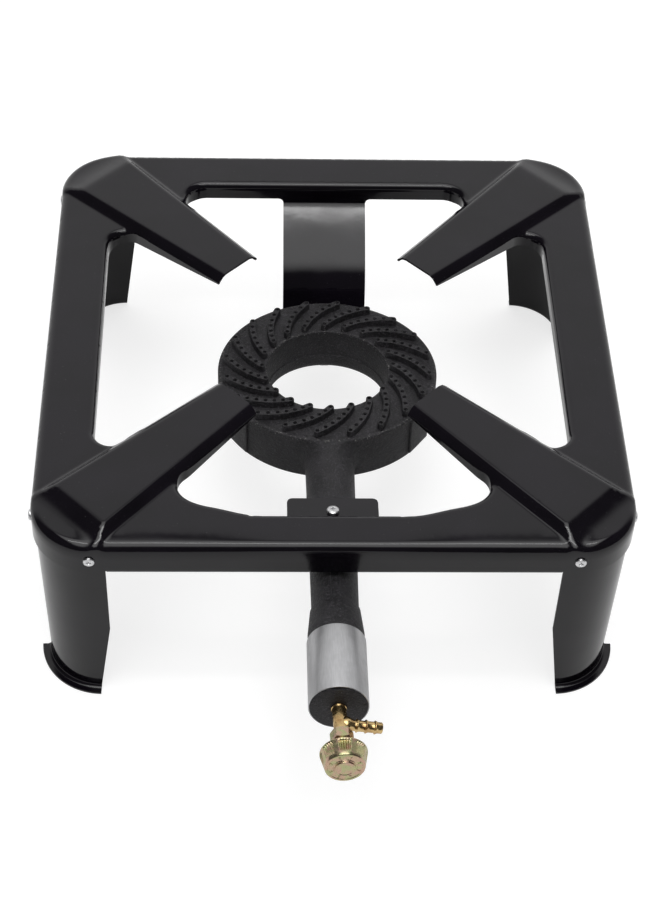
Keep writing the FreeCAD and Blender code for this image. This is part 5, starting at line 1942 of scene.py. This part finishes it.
class BuildSleeve(bpy.types.Operator):
    """Sliding air sleeve on the mixer barrel"""
    bl_idname = "burner_stand.build_sleeve"
    bl_label = "Air sleeve"

    def execute(self, context):
        inner, outer, low, high = SLEEVE
        outline = rounded_outline([(inner, low, 0), (outer, low, 0.25), (outer, high, 0.25),
                                   (inner, high, 0.1), (inner, low + 0.1, 0)])
        piece_from("sliding_sleeve", [lathe("sleeve", outline, tube_place(), 128, closed=True)],
                   "air_sleeve", "galvanised_sleeve", ["air_sleeve"])
        return {"FINISHED"}


class BuildValve(bpy.types.Operator):
    """Needle valve: brass stub, hose barb and gland nut"""
    bl_idname = "burner_stand.build_valve"
    bl_label = "Valve"

    def execute(self, context):
        piece_from("valve_stub", [stub_mesh()], "stand", "brass", ["valve_body"])
        piece_from("beaded_barb", [barb_mesh()], "stand", "brass", ["hose_barb"])
        piece_from("hex_gland_nut", [gland_nut_mesh()], "stand", "yellow_plated", ["gland_nut"], angle=25.0)
        return {"FINISHED"}


class BuildKnob(bpy.types.Operator):
    """Fluted control knob with plain numbers round its face"""
    bl_idname = "burner_stand.build_knob"
    bl_label = "Knob"

    def execute(self, context):
        piece_from("fluted_knob", [knob_mesh()] + dial_numbers(), "knob", "yellow_plated", ["control_knob"],
                   angle=50.0)
        return {"FINISHED"}


class FinishSolids(bpy.types.Operator):
    """Finishes on the solids that stay as they are"""
    bl_idname = "burner_stand.finish_solids"
    bl_label = "Solids that stay"

    def execute(self, context):
        slots = {row["node"]: row["material_slot"] for row in frame["record"]["subparts"]}
        for name, node in frame["nodes"].items():
            if node.hide_render:
                continue
            node.data.materials.clear()
            node.data.materials.append(finish(slots[name]))
        return {"FINISHED"}


class BurnerStandPanel(bpy.types.Panel):
    bl_idname = "VIEW3D_PT_burner_stand"
    bl_label = "Burner stand"
    bl_space_type = "VIEW_3D"
    bl_region_type = "UI"
    bl_category = "Burner stand"

    def draw(self, context):
        for operator in OPERATORS:
            self.layout.operator(operator.bl_idname)
        for group in (context.scene.stand_sizes, context.scene.stand_burner, context.scene.stand_valve,
                      context.scene.stand_finishes):
            box = self.layout.box()
            for name in group.__annotations__:
                box.prop(group, name)


GROUPS = {"stand_sizes": StandSizes, "stand_burner": BurnerSizes, "stand_valve": ValveSizes,
          "stand_finishes": Finishes}
OPERATORS = [BuildStage, BuildPressing, BuildLegs, BuildBurnerCasting, BuildBurnerHead, BuildScrews,
             BuildSleeve, BuildValve, BuildKnob, FinishSolids]


def register():
    for group in GROUPS.values():
        bpy.utils.register_class(group)
    for name, group in GROUPS.items():
        setattr(bpy.types.Scene, name, PointerProperty(type=group))
    for operator in OPERATORS:
        bpy.utils.register_class(operator)
    bpy.utils.register_class(BurnerStandPanel)


def unregister():
    bpy.utils.unregister_class(BurnerStandPanel)
    for operator in reversed(OPERATORS):
        bpy.utils.unregister_class(operator)
    for name in GROUPS:
        delattr(bpy.types.Scene, name)
    for group in reversed(list(GROUPS.values())):
        bpy.utils.unregister_class(group)


def main():
    register()
    for operator in OPERATORS:
        family, name = operator.bl_idname.split(".")
        getattr(getattr(bpy.ops, family), name)()


if __name__ == "__main__":
    main()
